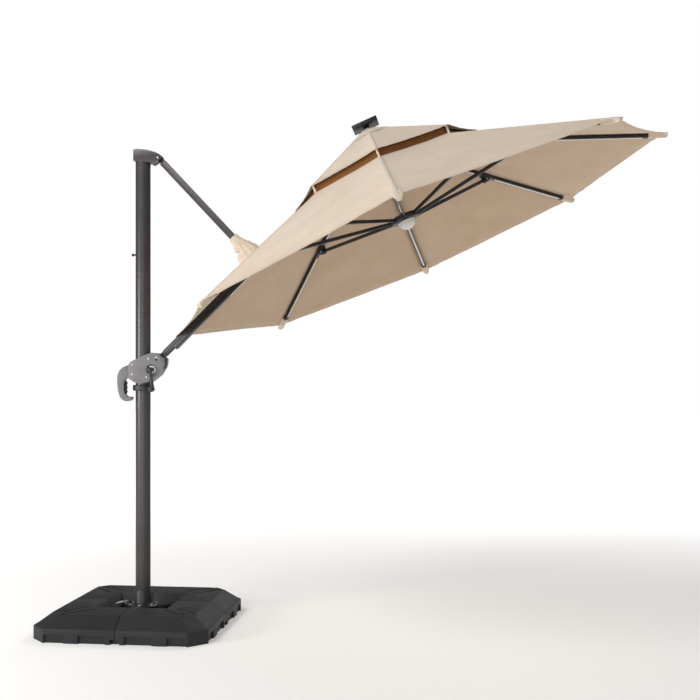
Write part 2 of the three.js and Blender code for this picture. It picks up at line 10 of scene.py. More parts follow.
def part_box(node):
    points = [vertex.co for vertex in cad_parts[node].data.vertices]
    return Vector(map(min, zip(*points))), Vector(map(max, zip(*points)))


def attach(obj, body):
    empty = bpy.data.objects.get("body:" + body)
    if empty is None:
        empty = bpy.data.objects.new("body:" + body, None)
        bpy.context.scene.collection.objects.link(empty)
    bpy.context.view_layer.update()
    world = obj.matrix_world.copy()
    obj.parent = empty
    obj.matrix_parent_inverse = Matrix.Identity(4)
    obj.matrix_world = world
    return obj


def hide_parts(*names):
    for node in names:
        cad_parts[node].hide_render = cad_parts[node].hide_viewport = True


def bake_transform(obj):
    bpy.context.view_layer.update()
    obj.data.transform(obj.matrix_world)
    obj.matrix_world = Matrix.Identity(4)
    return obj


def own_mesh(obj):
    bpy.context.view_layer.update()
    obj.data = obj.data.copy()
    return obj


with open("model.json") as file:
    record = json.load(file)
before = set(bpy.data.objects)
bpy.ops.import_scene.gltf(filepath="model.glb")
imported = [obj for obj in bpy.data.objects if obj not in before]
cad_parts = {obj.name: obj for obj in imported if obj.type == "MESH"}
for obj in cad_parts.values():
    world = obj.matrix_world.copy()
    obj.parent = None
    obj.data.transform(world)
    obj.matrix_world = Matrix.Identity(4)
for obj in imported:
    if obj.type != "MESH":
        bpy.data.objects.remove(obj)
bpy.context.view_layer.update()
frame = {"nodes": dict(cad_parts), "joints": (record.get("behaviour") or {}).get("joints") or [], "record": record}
joint = {j["name"]: j for j in frame["joints"]}


# ---- Camera, floor and light ---------------------------------------------------------------------
# The umbrella stands on a pale floor in a bright, even studio. A large soft panel high on the
# mast's side models the cloth, and a wide low one keeps the frame under the canopy readable.
CAMERA_PLACE = (1.868, -5.786, 1.41)
CAMERA_TURN = 6.5          # degrees from facing +Y
CAMERA_LENS = 52.8         # mm on a 36 mm sensor
CAMERA_SHIFT = 0.044


def area_light(name, place, aim, size, power, colour):
    data = bpy.data.lights.new(name, "AREA")
    data.shape = "DISK"
    data.size = size
    data.energy = power
    data.color = colour
    lamp = bpy.data.objects.new(name, data)
    lamp.location = place
    lamp.rotation_euler = (Vector(aim) - Vector(place)).to_track_quat("-Z", "Y").to_euler()
    bpy.context.scene.collection.objects.link(lamp)


def linear(hex_colour):
    """An sRGB hex colour as linear RGBA."""
    shares = [int(hex_colour[i:i + 2], 16) / 255 for i in (1, 3, 5)]
    return [s / 12.92 if s <= 0.04045 else ((s + 0.055) / 1.055) ** 2.4 for s in shares] + [1.0]


def add_node(tree, kind, settings=(), links=()):
    """Adds a node; settings fill its properties or inputs, links join its inputs to outputs."""
    made = tree.nodes.new(kind)
    for key, value in dict(settings).items():
        if isinstance(key, str) and key in made.bl_rna.properties:
            setattr(made, key, value)
        else:
            made.inputs[key].default_value = value
    for key, source in dict(links).items():
        tree.links.new(source, made.inputs[key])
    return made


def wire(tree, shader, **sources):
    """Links outputs to a shader's inputs, which are named with _ for a space."""
    for key, source in sources.items():
        tree.links.new(source, shader.inputs[key.replace("_", " ")])


def new_material(name, colour, roughness, metallic=0.0, **settings):
    """A material with one Principled shader, and its tree and shader."""
    made = bpy.data.materials.new(name)
    made.use_nodes = True
    tree = made.node_tree
    shader = tree.nodes["Principled BSDF"]
    shader.inputs["Base Color"].default_value = linear(colour)
    shader.inputs["Roughness"].default_value = roughness
    shader.inputs["Metallic"].default_value = metallic
    for key, value in settings.items():
        shader.inputs[key.replace("_", " ")].default_value = value
    return made, tree, shader


camera_data = bpy.data.cameras.new("camera")
camera_data.lens = CAMERA_LENS
camera_data.shift_y = CAMERA_SHIFT
camera = bpy.data.objects.new("camera", camera_data)
camera.location = CAMERA_PLACE
camera.rotation_euler = (math.radians(90), 0, math.radians(CAMERA_TURN))
bpy.context.scene.collection.objects.link(camera)
bpy.context.scene.camera = camera

area_light("key", (-2.6, -4.6, 6.2), (1.2, 0, 1.9), 3.2, 252, (1.0, 0.99, 0.975))
area_light("front_fill", (-1.2, -7.2, 1.4), (0.6, 0, 1.3), 3.4, 70, (0.98, 0.99, 1.0))
area_light("back_rim", (3.4, 5.0, 5.6), (1.2, 0, 2.2), 3.4, 165, (1.0, 0.99, 0.97))
area_light("side_strip", (-3.9, -3.6, 1.7), (0, 0, 1.5), 1.0, 110, (1.0, 1.0, 1.0))

world = bpy.data.worlds.new("studio")
world.use_nodes = True
sky = world.node_tree.nodes["Background"]
sky.inputs["Color"].default_value = (1.0, 1.0, 1.0, 1.0)
seen = add_node(world.node_tree, "ShaderNodeLightPath")
bright = add_node(world.node_tree, "ShaderNodeMapRange", {"To Min": 0.30, "To Max": 1.0},
                  {"Value": seen.outputs["Is Camera Ray"]})
world.node_tree.links.new(bright.outputs["Result"], sky.inputs["Strength"])
bpy.context.scene.world = world
bpy.context.scene.view_settings.view_transform = "Standard"

floor_mesh = bpy.data.meshes.new("floor")
floor_mesh.from_pydata([(-40, -40, 0), (40, -40, 0), (40, 40, 0), (-40, 40, 0)], [], [(0, 1, 2, 3)])
floor = bpy.data.objects.new("floor", floor_mesh)
bpy.context.scene.collection.objects.link(floor)
# The floor brightens away from the object, so that it meets the studio's wall without a line.
floor_paint, floor_tree, floor_shader = new_material("pale_floor", "#f4f3f1", 0.8)
floor_place = add_node(floor_tree, "ShaderNodeTexCoord").outputs["Object"]
floor_centre = add_node(floor_tree, "ShaderNodeMapping", {"Location": (-2.2, 0, 0)},
                        {"Vector": floor_place})
floor_reach = add_node(floor_tree, "ShaderNodeVectorMath", {"operation": "LENGTH"},
                       {0: floor_centre.outputs["Vector"]})
floor_glow = add_node(
    floor_tree, "ShaderNodeMapRange",
    {"interpolation_type": "SMOOTHSTEP", "From Min": 1.5, "From Max": 9.0,
     "To Min": 0.16, "To Max": 0.95},
    {"Value": floor_reach.outputs["Value"]})
wire(floor_tree, floor_shader, Emission_Strength=floor_glow.outputs["Result"])
floor_shader.inputs["Emission Color"].default_value = (1.0, 1.0, 1.0, 1.0)
floor_mesh.materials.append(floor_paint)


# ---- Tanks ---------------------------------------------------------------------------------------
# Four quarter tanks are blow-moulded from charcoal polyethylene and filled with water or sand.
# The mould gives them soft edges, a fine pebbled skin, grooves by the diagonals and rib panels.
TANK_EDGE = 0.005
PEBBLE_MM = 2.6            # the moulded grain is finer than this; drawn coarse enough to show


def smooth(mesh, angle=35.0):
    mesh.shade_smooth()
    mesh.set_sharp_from_angle(angle=math.radians(angle))


def link_mesh(name, mesh, material, body=None, angle=None, stands_for=None):
    """An object for a finished mesh, in its material. Where they are named, it rides on a body,
    stands for a CAD node, and is smooth up to an angle."""
    made = bpy.data.objects.new(name, mesh)
    bpy.context.scene.collection.objects.link(made)
    mesh.materials.clear()
    mesh.materials.append(material)
    if body:
        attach(made, body)
    if angle:
        smooth(mesh, angle)
    if stands_for:
        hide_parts(stands_for)
    return made


def baked(made):
    """Turns an object's modifiers into plain mesh."""
    bpy.context.view_layer.update()
    graph = bpy.context.evaluated_depsgraph_get()
    mesh = bpy.data.meshes.new_from_object(made.evaluated_get(graph))
    made.modifiers.clear()
    made.data = mesh
    return made


def body_with(node):
    return next(b for b, n in frame["record"]["behaviour"]["bodies"].items() if node in n)


def rounded(node, name, material, edge=0.0015, segments=2, angle=32.0):
    """The CAD node's shape with its flats merged and its edges rounded, standing for the node."""
    mesh = frame["nodes"][node].data.copy()
    shape = bmesh.new()
    shape.from_mesh(mesh)
    bmesh.ops.remove_doubles(shape, verts=shape.verts, dist=2e-5)
    bmesh.ops.dissolve_limit(
        shape, angle_limit=math.radians(1.2), verts=shape.verts, edges=shape.edges)
    shape.to_mesh(mesh)
    shape.free()
    made = link_mesh(name, mesh, material, body_with(node))
    bevel = made.modifiers.new("edges", "BEVEL")
    bevel.limit_method = "ANGLE"
    bevel.angle_limit = math.radians(angle)
    bevel.width = edge
    bevel.segments = segments
    baked(made)
    smooth(made.data)
    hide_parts(node)
    return made


def mottle(tree, place, scale, detail, dark, pale, low=0.3, high=0.7, **noise_settings):
    """Cloudy colour between two tones: the cloud's strength, and the colour it gives."""
    cloud = add_node(tree, "ShaderNodeTexNoise", {"Scale": scale, "Detail": detail, **noise_settings},
                     {"Vector": place})
    tone = add_node(tree, "ShaderNodeValToRGB", links={"Fac": cloud.outputs["Fac"]})
    for stop, position, colour in zip(tone.color_ramp.elements, (low, high), (dark, pale)):
        stop.position = position
        stop.color = linear(colour)
    return cloud.outputs["Fac"], tone.outputs["Color"]


def moulded_polyethylene():
    """Blow-moulded polyethylene: satin and pebbled, with a cloudy tone."""
    made, tree, shader = new_material("moulded_polyethylene", "#19191b", 0.5)
    place = add_node(tree, "ShaderNodeTexCoord").outputs["Object"]
    grain = add_node(tree, "ShaderNodeTexVoronoi", {"Scale": 1000 / PEBBLE_MM}, {"Vector": place})
    cloud, tone = mottle(tree, place, 5.0, 6.0, "#141417", "#1f1f23", high=0.75)
    sheen = add_node(tree, "ShaderNodeMapRange", {"To Min": 0.5, "To Max": 0.7}, {"Value": cloud})
    bump = add_node(tree, "ShaderNodeBump", {"Strength": 0.25, "Distance": 0.0006},
                    {"Height": grain.outputs["Distance"]})
    wire(tree, shader, Base_Color=tone, Roughness=sheen.outputs["Result"], Normal=bump.outputs["Normal"])
    return made


polyethylene = moulded_polyethylene()
TANKS = ("front_left", "front_right", "rear_left", "rear_right")
for corner in TANKS:
    rounded(f"tank_{corner}", f"tank_shell_{corner}", polyethylene, TANK_EDGE, 3, 18)


# ---- Screw bungs of the tanks --------------------------------------------------------------------
# Each tank is filled through a black ABS bung with a milled rim and a bar to turn it by.
BUNG_RIBS = 28


def moulded_abs(name="moulded_abs_black", colour="#1d1d1f", roughness=0.42):
    """Injection-moulded ABS: near-black, with a spark-eroded grain that breaks up its gloss."""
    made, tree, shader = new_material(name, colour, roughness)
    place = add_node(tree, "ShaderNodeTexCoord").outputs["Object"]
    grain = add_node(tree, "ShaderNodeTexNoise", {"Scale": 900.0, "Detail": 2.0}, {"Vector": place})
    cloud = add_node(tree, "ShaderNodeTexNoise", {"Scale": 14.0, "Detail": 4.0}, {"Vector": place})
    sheen = add_node(tree, "ShaderNodeMapRange",
                     {"To Min": roughness - 0.08, "To Max": roughness + 0.1},
                     {"Value": cloud.outputs["Fac"]})
    bump = add_node(tree, "ShaderNodeBump", {"Strength": 0.18, "Distance": 0.0002},
                    {"Height": grain.outputs["Fac"]})
    wire(tree, shader, Roughness=sheen.outputs["Result"], Normal=bump.outputs["Normal"])
    return made


def finished(shape, name):
    """A bmesh as a named mesh, with its faces turned outwards."""
    bmesh.ops.recalc_face_normals(shape, faces=shape.faces)
    mesh = bpy.data.meshes.new(name)
    shape.to_mesh(mesh)
    shape.free()
    return mesh


def turned(profile, segments=48, radius_at=None):
    """A closed mesh turned about Z through (radius, height) points that start and end on it."""
    shape = bmesh.new()
    rings = []
    for radius, height in profile:
        if radius < 1e-9:
            rings.append([shape.verts.new((0, 0, height))])
            continue
        ring = []
        for i in range(segments):
            turn = 2 * math.pi * i / segments
            far = radius if radius_at is None else radius_at(radius, turn)
            ring.append(shape.verts.new((far * math.cos(turn), far * math.sin(turn), height)))
        rings.append(ring)
    for low, high in zip(rings, rings[1:]):
        for i in range(segments):
            j = (i + 1) % segments
            corners = [low[i % len(low)], low[j % len(low)], high[j % len(high)], high[i % len(high)]]
            face = list(dict.fromkeys(corners))
            if len(face) > 2:
                shape.faces.new(face)
    return finished(shape, "turned")


def block(shape, centre, size, turn=0.0):
    """Adds a box to a bmesh."""
    place = Matrix.Translation(centre) @ Matrix.Rotation(turn, 4, "Z") @ Matrix.Diagonal((*size, 1))
    bmesh.ops.create_cube(shape, size=1.0, matrix=place)


abs_black = moulded_abs()
for corner in TANKS:
    low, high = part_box(f"fill_cap_{corner}")
    middle = (low + high) / 2
    rim = (high.x - low.x) / 2
    mesh = turned(
        [(0, 0), (rim - 0.003, 0), (rim, 0.001), (rim, 0.0085), (rim - 0.0012, 0.0105),
         (rim - 0.006, 0.0112), (rim - 0.0075, 0.0085), (0, 0.0085)],
        112, lambda r, turn: r - (0.0008 * (math.cos(BUNG_RIBS * turn) > 0) if r > rim - 0.002 else 0))
    shape = bmesh.new()
    shape.from_mesh(mesh)
    block(shape, (0, 0, 0.0098), (2 * rim - 0.016, 0.006, 0.0045), math.radians(45))
    shape.to_mesh(mesh)
    shape.free()
    mesh.transform(Matrix.Translation((middle.x, middle.y, high.z - 0.0125)))
    link_mesh(f"bung_{corner}", mesh, abs_black, f"cap_{corner}", 35, f"fill_cap_{corner}")


# ---- Cross base, bearing and flange --------------------------------------------------------------
# A welded steel cross lies under the tanks and carries the mast's riser. Its swivel bearing and
# the mast flange turn on it. All are powder-coated black, apart from the zinc-plated bearing.
def powder_coat(name, dark, pale, roughness, metallic, orange_peel_mm=7.0):
    """Baked powder paint: even colour, satin sheen that varies, and a slight orange peel, which
    is drawn broader than the real 2 mm so that it shows."""
    made, tree, shader = new_material(name, dark, roughness, metallic)
    place = add_node(tree, "ShaderNodeTexCoord").outputs["Object"]
    peel = add_node(tree, "ShaderNodeTexNoise", {"Scale": 1000 / orange_peel_mm, "Detail": 1.0},
                    {"Vector": place})
    cloud, tone = mottle(tree, place, 3.0, 5.0, dark, pale)
    sheen = add_node(tree, "ShaderNodeMapRange",
                     {"To Min": roughness - 0.05, "To Max": roughness + 0.07}, {"Value": cloud})
    bump = add_node(tree, "ShaderNodeBump", {"Strength": 0.05, "Distance": 0.0003},
                    {"Height": peel.outputs["Fac"]})
    wire(tree, shader, Base_Color=tone, Roughness=sheen.outputs["Result"], Normal=bump.outputs["Normal"])
    return made


def plated_steel():
    """Zinc-plated steel: bright, a little cloudy, with fine rolling lines."""
    made, tree, shader = new_material("zinc_plated_steel", "#b6b8ba", 0.32, 1.0)
    place = add_node(tree, "ShaderNodeTexCoord").outputs["Object"]
    stretched = add_node(tree, "ShaderNodeMapping", {"Scale": (60.0, 60.0, 900.0)}, {"Vector": place})
    lines = add_node(tree, "ShaderNodeTexNoise", {"Scale": 1.0, "Detail": 2.0},
                     {"Vector": stretched.outputs["Vector"]})
    sheen = add_node(tree, "ShaderNodeMapRange", {"To Min": 0.24, "To Max": 0.44},
                     {"Value": lines.outputs["Fac"]})
    wire(tree, shader, Roughness=sheen.outputs["Result"])
    return made


cast_grey = powder_coat("powder_coat_on_casting", "#625f60", "#6f6c6d", 0.42, 0.3, 6.0)
black_coat = powder_coat("powder_coat_black", "#161617", "#202022", 0.38, 0.0)
bronze_coat = powder_coat("powder_coat_bronze_grey", "#3a3636", "#444040", 0.32, 0.45)
zinc = plated_steel()
rounded("cross_base", "steel_cross", black_coat, 0.0012)
rounded("swivel_bearing", "bearing_ring", zinc, 0.0008)
rounded("swivel_flange", "mast_flange", black_coat, 0.0012)


# ---- Screws and bolts ----------------------------------------------------------------------------
# Domed socket screws, zinc plated. One tree makes a head with a hexagon socket at each point,
# standing along the point's own direction.
def sized_tree(name, sizes):
    """A geometry tree with an input for each named size and one for the finish."""
    tree = bpy.data.node_groups.new(name, "GeometryNodeTree")
    kinds = [("Geometry", "Geometry"), *((size, "Float") for size in sizes), ("Finish", "Material")]
    for label, kind in kinds:
        tree.interface.new_socket(label, in_out="INPUT", socket_type="NodeSocket" + kind)
    tree.interface.new_socket("Geometry", in_out="OUTPUT", socket_type="NodeSocketGeometry")
    return tree, add_node(tree, "NodeGroupInput").outputs


def end_tree(tree, placed, finish):
    """Makes a tree's instances real, gives them their material, and puts them out."""
    real = add_node(tree, "GeometryNodeRealizeInstances", links={"Geometry": placed.outputs["Instances"]})
    painted = add_node(tree, "GeometryNodeSetMaterial",
                       links={"Geometry": real.outputs["Geometry"], "Material": finish})
    add_node(tree, "NodeGroupOutput", links={"Geometry": painted.outputs["Geometry"]})
    return tree


def screw_tree():
    tree, given = sized_tree("screw_heads", ("Radius", "Height"))
    disc = add_node(tree, "GeometryNodeMeshCylinder", {"Vertices": 24},
                    {"Radius": given["Radius"], "Depth": given["Height"]})
    crown_size, crown_tall, socket_size = (
        add_node(tree, "ShaderNodeMath", {"operation": "MULTIPLY", 1: share}, {0: given[size]}).outputs[0]
        for size, share in (("Radius", 0.72), ("Height", 0.5), ("Radius", 0.42)))
    crown = add_node(tree, "GeometryNodeMeshCone", {"Vertices": 24},
                     {"Radius Top": crown_size, "Radius Bottom": given["Radius"], "Depth": crown_tall})
    lift_by = add_node(tree, "ShaderNodeCombineXYZ", links={"Z": crown_tall})
    lifted = add_node(tree, "GeometryNodeTransform", links={
        "Geometry": crown.outputs["Mesh"], "Translation": lift_by.outputs["Vector"]})
    hexagon = add_node(tree, "GeometryNodeMeshCylinder", {"Vertices": 6},
                       {"Radius": socket_size, "Depth": given["Height"]})
    sunk_by = add_node(tree, "ShaderNodeCombineXYZ", links={"Z": given["Height"]})
    sunk = add_node(tree, "GeometryNodeTransform", links={
        "Geometry": hexagon.outputs["Mesh"], "Translation": sunk_by.outputs["Vector"]})
    head = add_node(tree, "GeometryNodeMeshBoolean", {"operation": "DIFFERENCE"},
                    {"Mesh 1": lifted.outputs["Geometry"]})
    tree.links.new(sunk.outputs["Geometry"], head.inputs["Mesh 2"])
    whole = add_node(tree, "GeometryNodeJoinGeometry")
    tree.links.new(disc.outputs["Mesh"], whole.inputs["Geometry"])
    tree.links.new(head.outputs["Mesh"], whole.inputs["Geometry"])
    aim = add_node(tree, "GeometryNodeInputNamedAttribute", {"data_type": "FLOAT_VECTOR", "Name": "aim"})
    turn = add_node(tree, "FunctionNodeAlignRotationToVector", {"axis": "Z"},
                    {"Vector": aim.outputs["Attribute"]})
    points = add_node(tree, "GeometryNodeMeshToPoints", links={"Mesh": given["Geometry"]})
    placed = add_node(tree, "GeometryNodeInstanceOnPoints", links={
        "Points": points.outputs["Points"], "Instance": whole.outputs["Geometry"],
        "Rotation": turn.outputs["Rotation"]})
    return end_tree(tree, placed, given["Finish"])


SCREWS = screw_tree()


def run_tree(made, tree, inputs):
    """Runs a geometry tree on an object with the named inputs, and keeps the plain mesh."""
    modifier = made.modifiers.new("tree", "NODES")
    modifier.node_group = tree
    for item in tree.interface.items_tree:
        if item.in_out == "INPUT" and item.name in inputs:
            modifier[item.identifier] = inputs[item.name]
    baked(made)


def screws(name, body, places, radius=0.004, height=0.0022):
    """Screw heads at (point, direction) places."""
    mesh = bpy.data.meshes.new(name)
    mesh.from_pydata([tuple(p) for p, _ in places], [], [])
    aim = mesh.attributes.new("aim", "FLOAT_VECTOR", "POINT")
    aim.data.foreach_set("vector", [c for _, d in places for c in d])
    made = bpy.data.objects.new(name, mesh)
    bpy.context.scene.collection.objects.link(made)
    run_tree(made, SCREWS, {"Radius": radius, "Height": height, "Finish": zinc})
    smooth(made.data)
    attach(made, body)
    return made


BOLTS = 6
FLANGE_TOP = 0.1171        # height of the flange's face, where the bolts bear
bolt_circle = 0.82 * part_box("swivel_flange")[1].x
screws("flange_bolts", "mast", [
    ((bolt_circle * math.cos(a), bolt_circle * math.sin(a), FLANGE_TOP), (0, 0, 1))
    for a in (math.radians(30 + 360 / BOLTS * i) for i in range(BOLTS))], 0.0075, 0.005)


# ---- Foot pedal ----------------------------------------------------------------------------------
# A pressed zinc-plated pedal that lifts the swivel's locking pin.
rounded("foot_pedal", "pedal_plate", zinc, 0.001)


# ---- Mast ----------------------------------------------------------------------------------------
# An oval aluminium extrusion, powder-coated bronze grey, with a cast cap whose nose holds the
# strut's top pin. A small nylon knob stops the winding rope.
MAST_WALL = 0.0025
MAST_SIDES = 96

mast_low, mast_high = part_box("mast_tube")
half_wide, half_deep = mast_high.x, mast_high.y
inside = 1 - MAST_WALL / half_deep
profile = [(inside, mast_low.z), (1, mast_low.z), (1, mast_high.z), (inside, mast_high.z)]
points, faces = [], []
for share, height in profile:
    for i in range(MAST_SIDES):
        turn = 2 * math.pi * i / MAST_SIDES
        points.append((share * half_wide * math.cos(turn), share * half_deep * math.sin(turn), height))
for ring in range(4):
    for i in range(MAST_SIDES):
        j, after = (i + 1) % MAST_SIDES, (ring + 1) % 4
        faces.append((ring * MAST_SIDES + i, ring * MAST_SIDES + j,
                      after * MAST_SIDES + j, after * MAST_SIDES + i))
mast_mesh = bpy.data.meshes.new("mast")
mast_mesh.from_pydata(points, [], faces)
link_mesh("mast_extrusion", mast_mesh, bronze_coat, "mast", 35, "mast_tube")
rounded("mast_cap", "cast_mast_cap", bronze_coat, 0.003, 3)
rounded("rope_stop_knob", "stop_knob", abs_black, 0.0012)
rounded("strut_top_pin", "top_pivot_pin", zinc, 0.0008)


# ---- Slider --------------------------------------------------------------------------------------
# Two die-cast covers meet on the mast's middle plane and ride up and down it on a rounded collar.
# Five screws close each cover. The C-shaped grip is moulded over a steel core.
def soft_rubber():
    """Moulded rubber: matt black, with a fine dry bloom that lifts its tone in patches."""
    made, tree, shader = new_material("moulded_rubber", "#17171a", 0.78)
    place = add_node(tree, "ShaderNodeTexCoord").outputs["Object"]
    bloom, tone = mottle(tree, place, 40.0, 5.0, "#141416", "#222225", low=0.35)
    bump = add_node(tree, "ShaderNodeBump", {"Strength": 0.2, "Distance": 0.0003}, {"Height": bloom})
    wire(tree, shader, Base_Color=tone, Normal=bump.outputs["Normal"])
    return made


rubber = soft_rubber()
SLIDER_FACE = 0.0542
COVER_SCREWS = ((-0.048, 1.502), (0.050, 1.537), (0.098, 1.543), (-0.048, 1.447), (0.038, 1.430))
rounded("slider_cover_front", "slider_casting_front", cast_grey, 0.006, 3, 40)
rounded("slider_cover_rear", "slider_casting_rear", cast_grey, 0.006, 3, 40)
rounded("slider_collar", "guide_collar", abs_black, 0.004, 3)
rounded("grip_handle", "grip_bow", cast_grey, 0.005, 3, 40)
rounded("release_trigger", "squeeze_trigger", rubber, 0.002)
screws("cover_screws", "slider", [
    ((x, side * SLIDER_FACE, z), (0, side, 0)) for side in (-1, 1) for x, z in COVER_SCREWS], 0.0062)


# ---- Winch crank ---------------------------------------------------------------------------------
# A cast arm on the drum's axle, with a knob of ribbed plastic that spins on its own pin.
KNOB_FLUTES = 12

rounded("winding_drum", "rope_drum", zinc, 0.0008)
rounded("crank_arm", "cast_crank_arm", black_coat, 0.002, 2)
knob_low, knob_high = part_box("crank_knob")
knob_middle = (knob_low + knob_high) / 2
knob_mesh = turned(
    [(0, 0), (0.0125, 0), (0.0150, 0.002), (0.0150, 0.005), (0.0135, 0.009), (0.0135, 0.025),
     (0.0155, 0.031), (0.0169, 0.035), (0.0165, 0.0385), (0.0135, 0.0412), (0.0085, 0.0429),
     (0, 0.0430)],
    72, lambda r, turn: r - 0.0009 * (0.5 + 0.5 * math.cos(KNOB_FLUTES * turn)) * (r > 0.012))
knob_mesh.transform(
    Matrix.Translation((knob_middle.x, knob_high.y, knob_middle.z)) @ Matrix.Rotation(math.pi / 2, 4, "X"))
link_mesh("ribbed_knob", knob_mesh, abs_black, "knob", 50, "crank_knob")


# ---- Strut and boom ------------------------------------------------------------------------------
# Two aluminium tubes, powder-coated bronze grey, form the linkage that tilts the canopy. The
# boom carries a black channel underneath, which is the canopy's eighth rib.
rounded("strut", "strut_tube", bronze_coat, 0.003, 3)
rounded("elbow_pin", "elbow_bolt", zinc, 0.0008)
rounded("boom", "boom_tube", bronze_coat, 0.002, 2)
rounded("boom_rib", "boom_channel", black_coat, 0.0012)
rounded("boom_foot_pin", "foot_bolt", zinc, 0.0008)


# ---- Hub, ribs and stretchers --------------------------------------------------------------------
# Eight black ribs spread from the top hub, one of them the boom, and stretchers brace them from
# the runner. Each rib has a moulded collar near its end and holds its stretcher in a chunky knuckle.
CANOPY_CENTRE = Vector((1.584, 0, 2.179))
CANOPY_TILT = math.radians(23)
ACROSS = Vector((math.cos(CANOPY_TILT), 0, math.sin(CANOPY_TILT)))
SIDEWAYS = Vector((0, 1, 0))
UPWARDS = Vector((-math.sin(CANOPY_TILT), 0, math.cos(CANOPY_TILT)))
BOOM_SIDE = 4
CANOPY_RADIUS = 1.481
HUB_PIVOT, HUB_HEIGHT = 0.060, 0.600
RIB_DROOP = math.radians(23)
BOOM_DROOP = math.radians(21.458)
RIB_HALF_WIDE, RIB_HALF_TALL = 0.011, 0.010
KNUCKLE_RADIUS, KNUCKLE_DROP = 0.771, 0.026
CHEEK_INNER, CHEEK_THICK, CHEEK_ROUND = 0.0108, 0.0055, 0.0185
CHEEK_HALF, CHEEK_STEP = 0.034, 0.010
SADDLE_GAP, SADDLE_THICK = 0.0004, 0.0041
COLLAR_START, COLLAR_END, COLLAR_HALF = 0.124, 0.094, 0.0134   # back from the rib's end
rib_length = (CANOPY_RADIUS - HUB_PIVOT) / math.cos(RIB_DROOP)


def in_canopy(radius, turn, height):
    """A point from its radius and angle round the canopy, and its height over the tips' plane."""
    return (CANOPY_CENTRE + radius * (math.cos(turn) * ACROSS + math.sin(turn) * SIDEWAYS)
            + height * UPWARDS)


def tangent(k):
    turn = k * math.pi / 4
    return math.cos(turn) * SIDEWAYS - math.sin(turn) * ACROSS


def rib_frame(k):
    """The rib's own frame: +X outwards along it, +Z away from the stretcher."""
    droop = BOOM_DROOP if k == BOOM_SIDE else RIB_DROOP
    turn = k * math.pi / 4
    outward = math.cos(turn) * ACROSS + math.sin(turn) * SIDEWAYS
    along = math.cos(droop) * outward - math.sin(droop) * UPWARDS
    above = math.sin(droop) * outward + math.cos(droop) * UPWARDS
    place = Matrix((along, tangent(k), above)).transposed().to_4x4()
    place.translation = in_canopy(HUB_PIVOT, turn, HUB_HEIGHT)
    return place


def rib_body(k):
    return "boom" if k == BOOM_SIDE else f"rib_{k}"


def bevelled(shape, name, material, body, edge, segments=2):
    """Rounds a bmesh's sharp edges and links it."""
    bmesh.ops.recalc_face_normals(shape, faces=shape.faces)
    sharp = [e for e in shape.edges if e.is_manifold and e.calc_face_angle(0) > math.radians(30)]
    bmesh.ops.bevel(shape, geom=sharp, offset=edge, segments=segments, profile=0.5,
                    affect="EDGES", clamp_overlap=True)
    mesh = bpy.data.meshes.new(name)
    shape.to_mesh(mesh)
    shape.free()
    return link_mesh(name, mesh, material, body, 35)


def prism(shape, near_points, far_points):
    """Adds a prism to a bmesh between two like outlines."""
    near = [shape.verts.new(p) for p in near_points]
    far = [shape.verts.new(p) for p in far_points]
    shape.faces.new(near)
    shape.faces.new(far[::-1])
    for i in range(len(near)):
        j = (i + 1) % len(near)
        shape.faces.new((near[j], near[i], far[i], far[j]))


def side_plate(shape, outline, low, high, place):
    """Adds a plate to a bmesh: an XZ outline from low to high along Y, in a frame."""
    prism(shape, *([place @ Vector((x, y, z)) for x, z in outline] for y in (low, high)))


def arc(x, z, radius, start, end, steps=8):
    return [(x + radius * math.cos(math.radians(start + (end - start) * i / steps)),
             z + radius * math.sin(math.radians(start + (end - start) * i / steps)))
            for i in range(steps + 1)]


rounded("top_hub", "cast_top_hub", black_coat, 0.003, 2)
rounded("runner_hub", "moulded_runner", abs_black, 0.003, 2)

# All the stretcher pins lie on one circle, so the boom's is placed by its own droop.
pin_out = KNUCKLE_RADIUS - HUB_PIVOT
pin_down = (pin_out * math.sin(RIB_DROOP) + KNUCKLE_DROP) / math.cos(RIB_DROOP)
rib_knuckle = (pin_out + KNUCKLE_DROP * math.sin(RIB_DROOP)) / math.cos(RIB_DROOP)
boom_knuckle = pin_out * math.cos(BOOM_DROOP) + pin_down * math.sin(BOOM_DROOP)
knuckle_under_boom = pin_down * math.cos(BOOM_DROOP) - pin_out * math.sin(BOOM_DROOP)

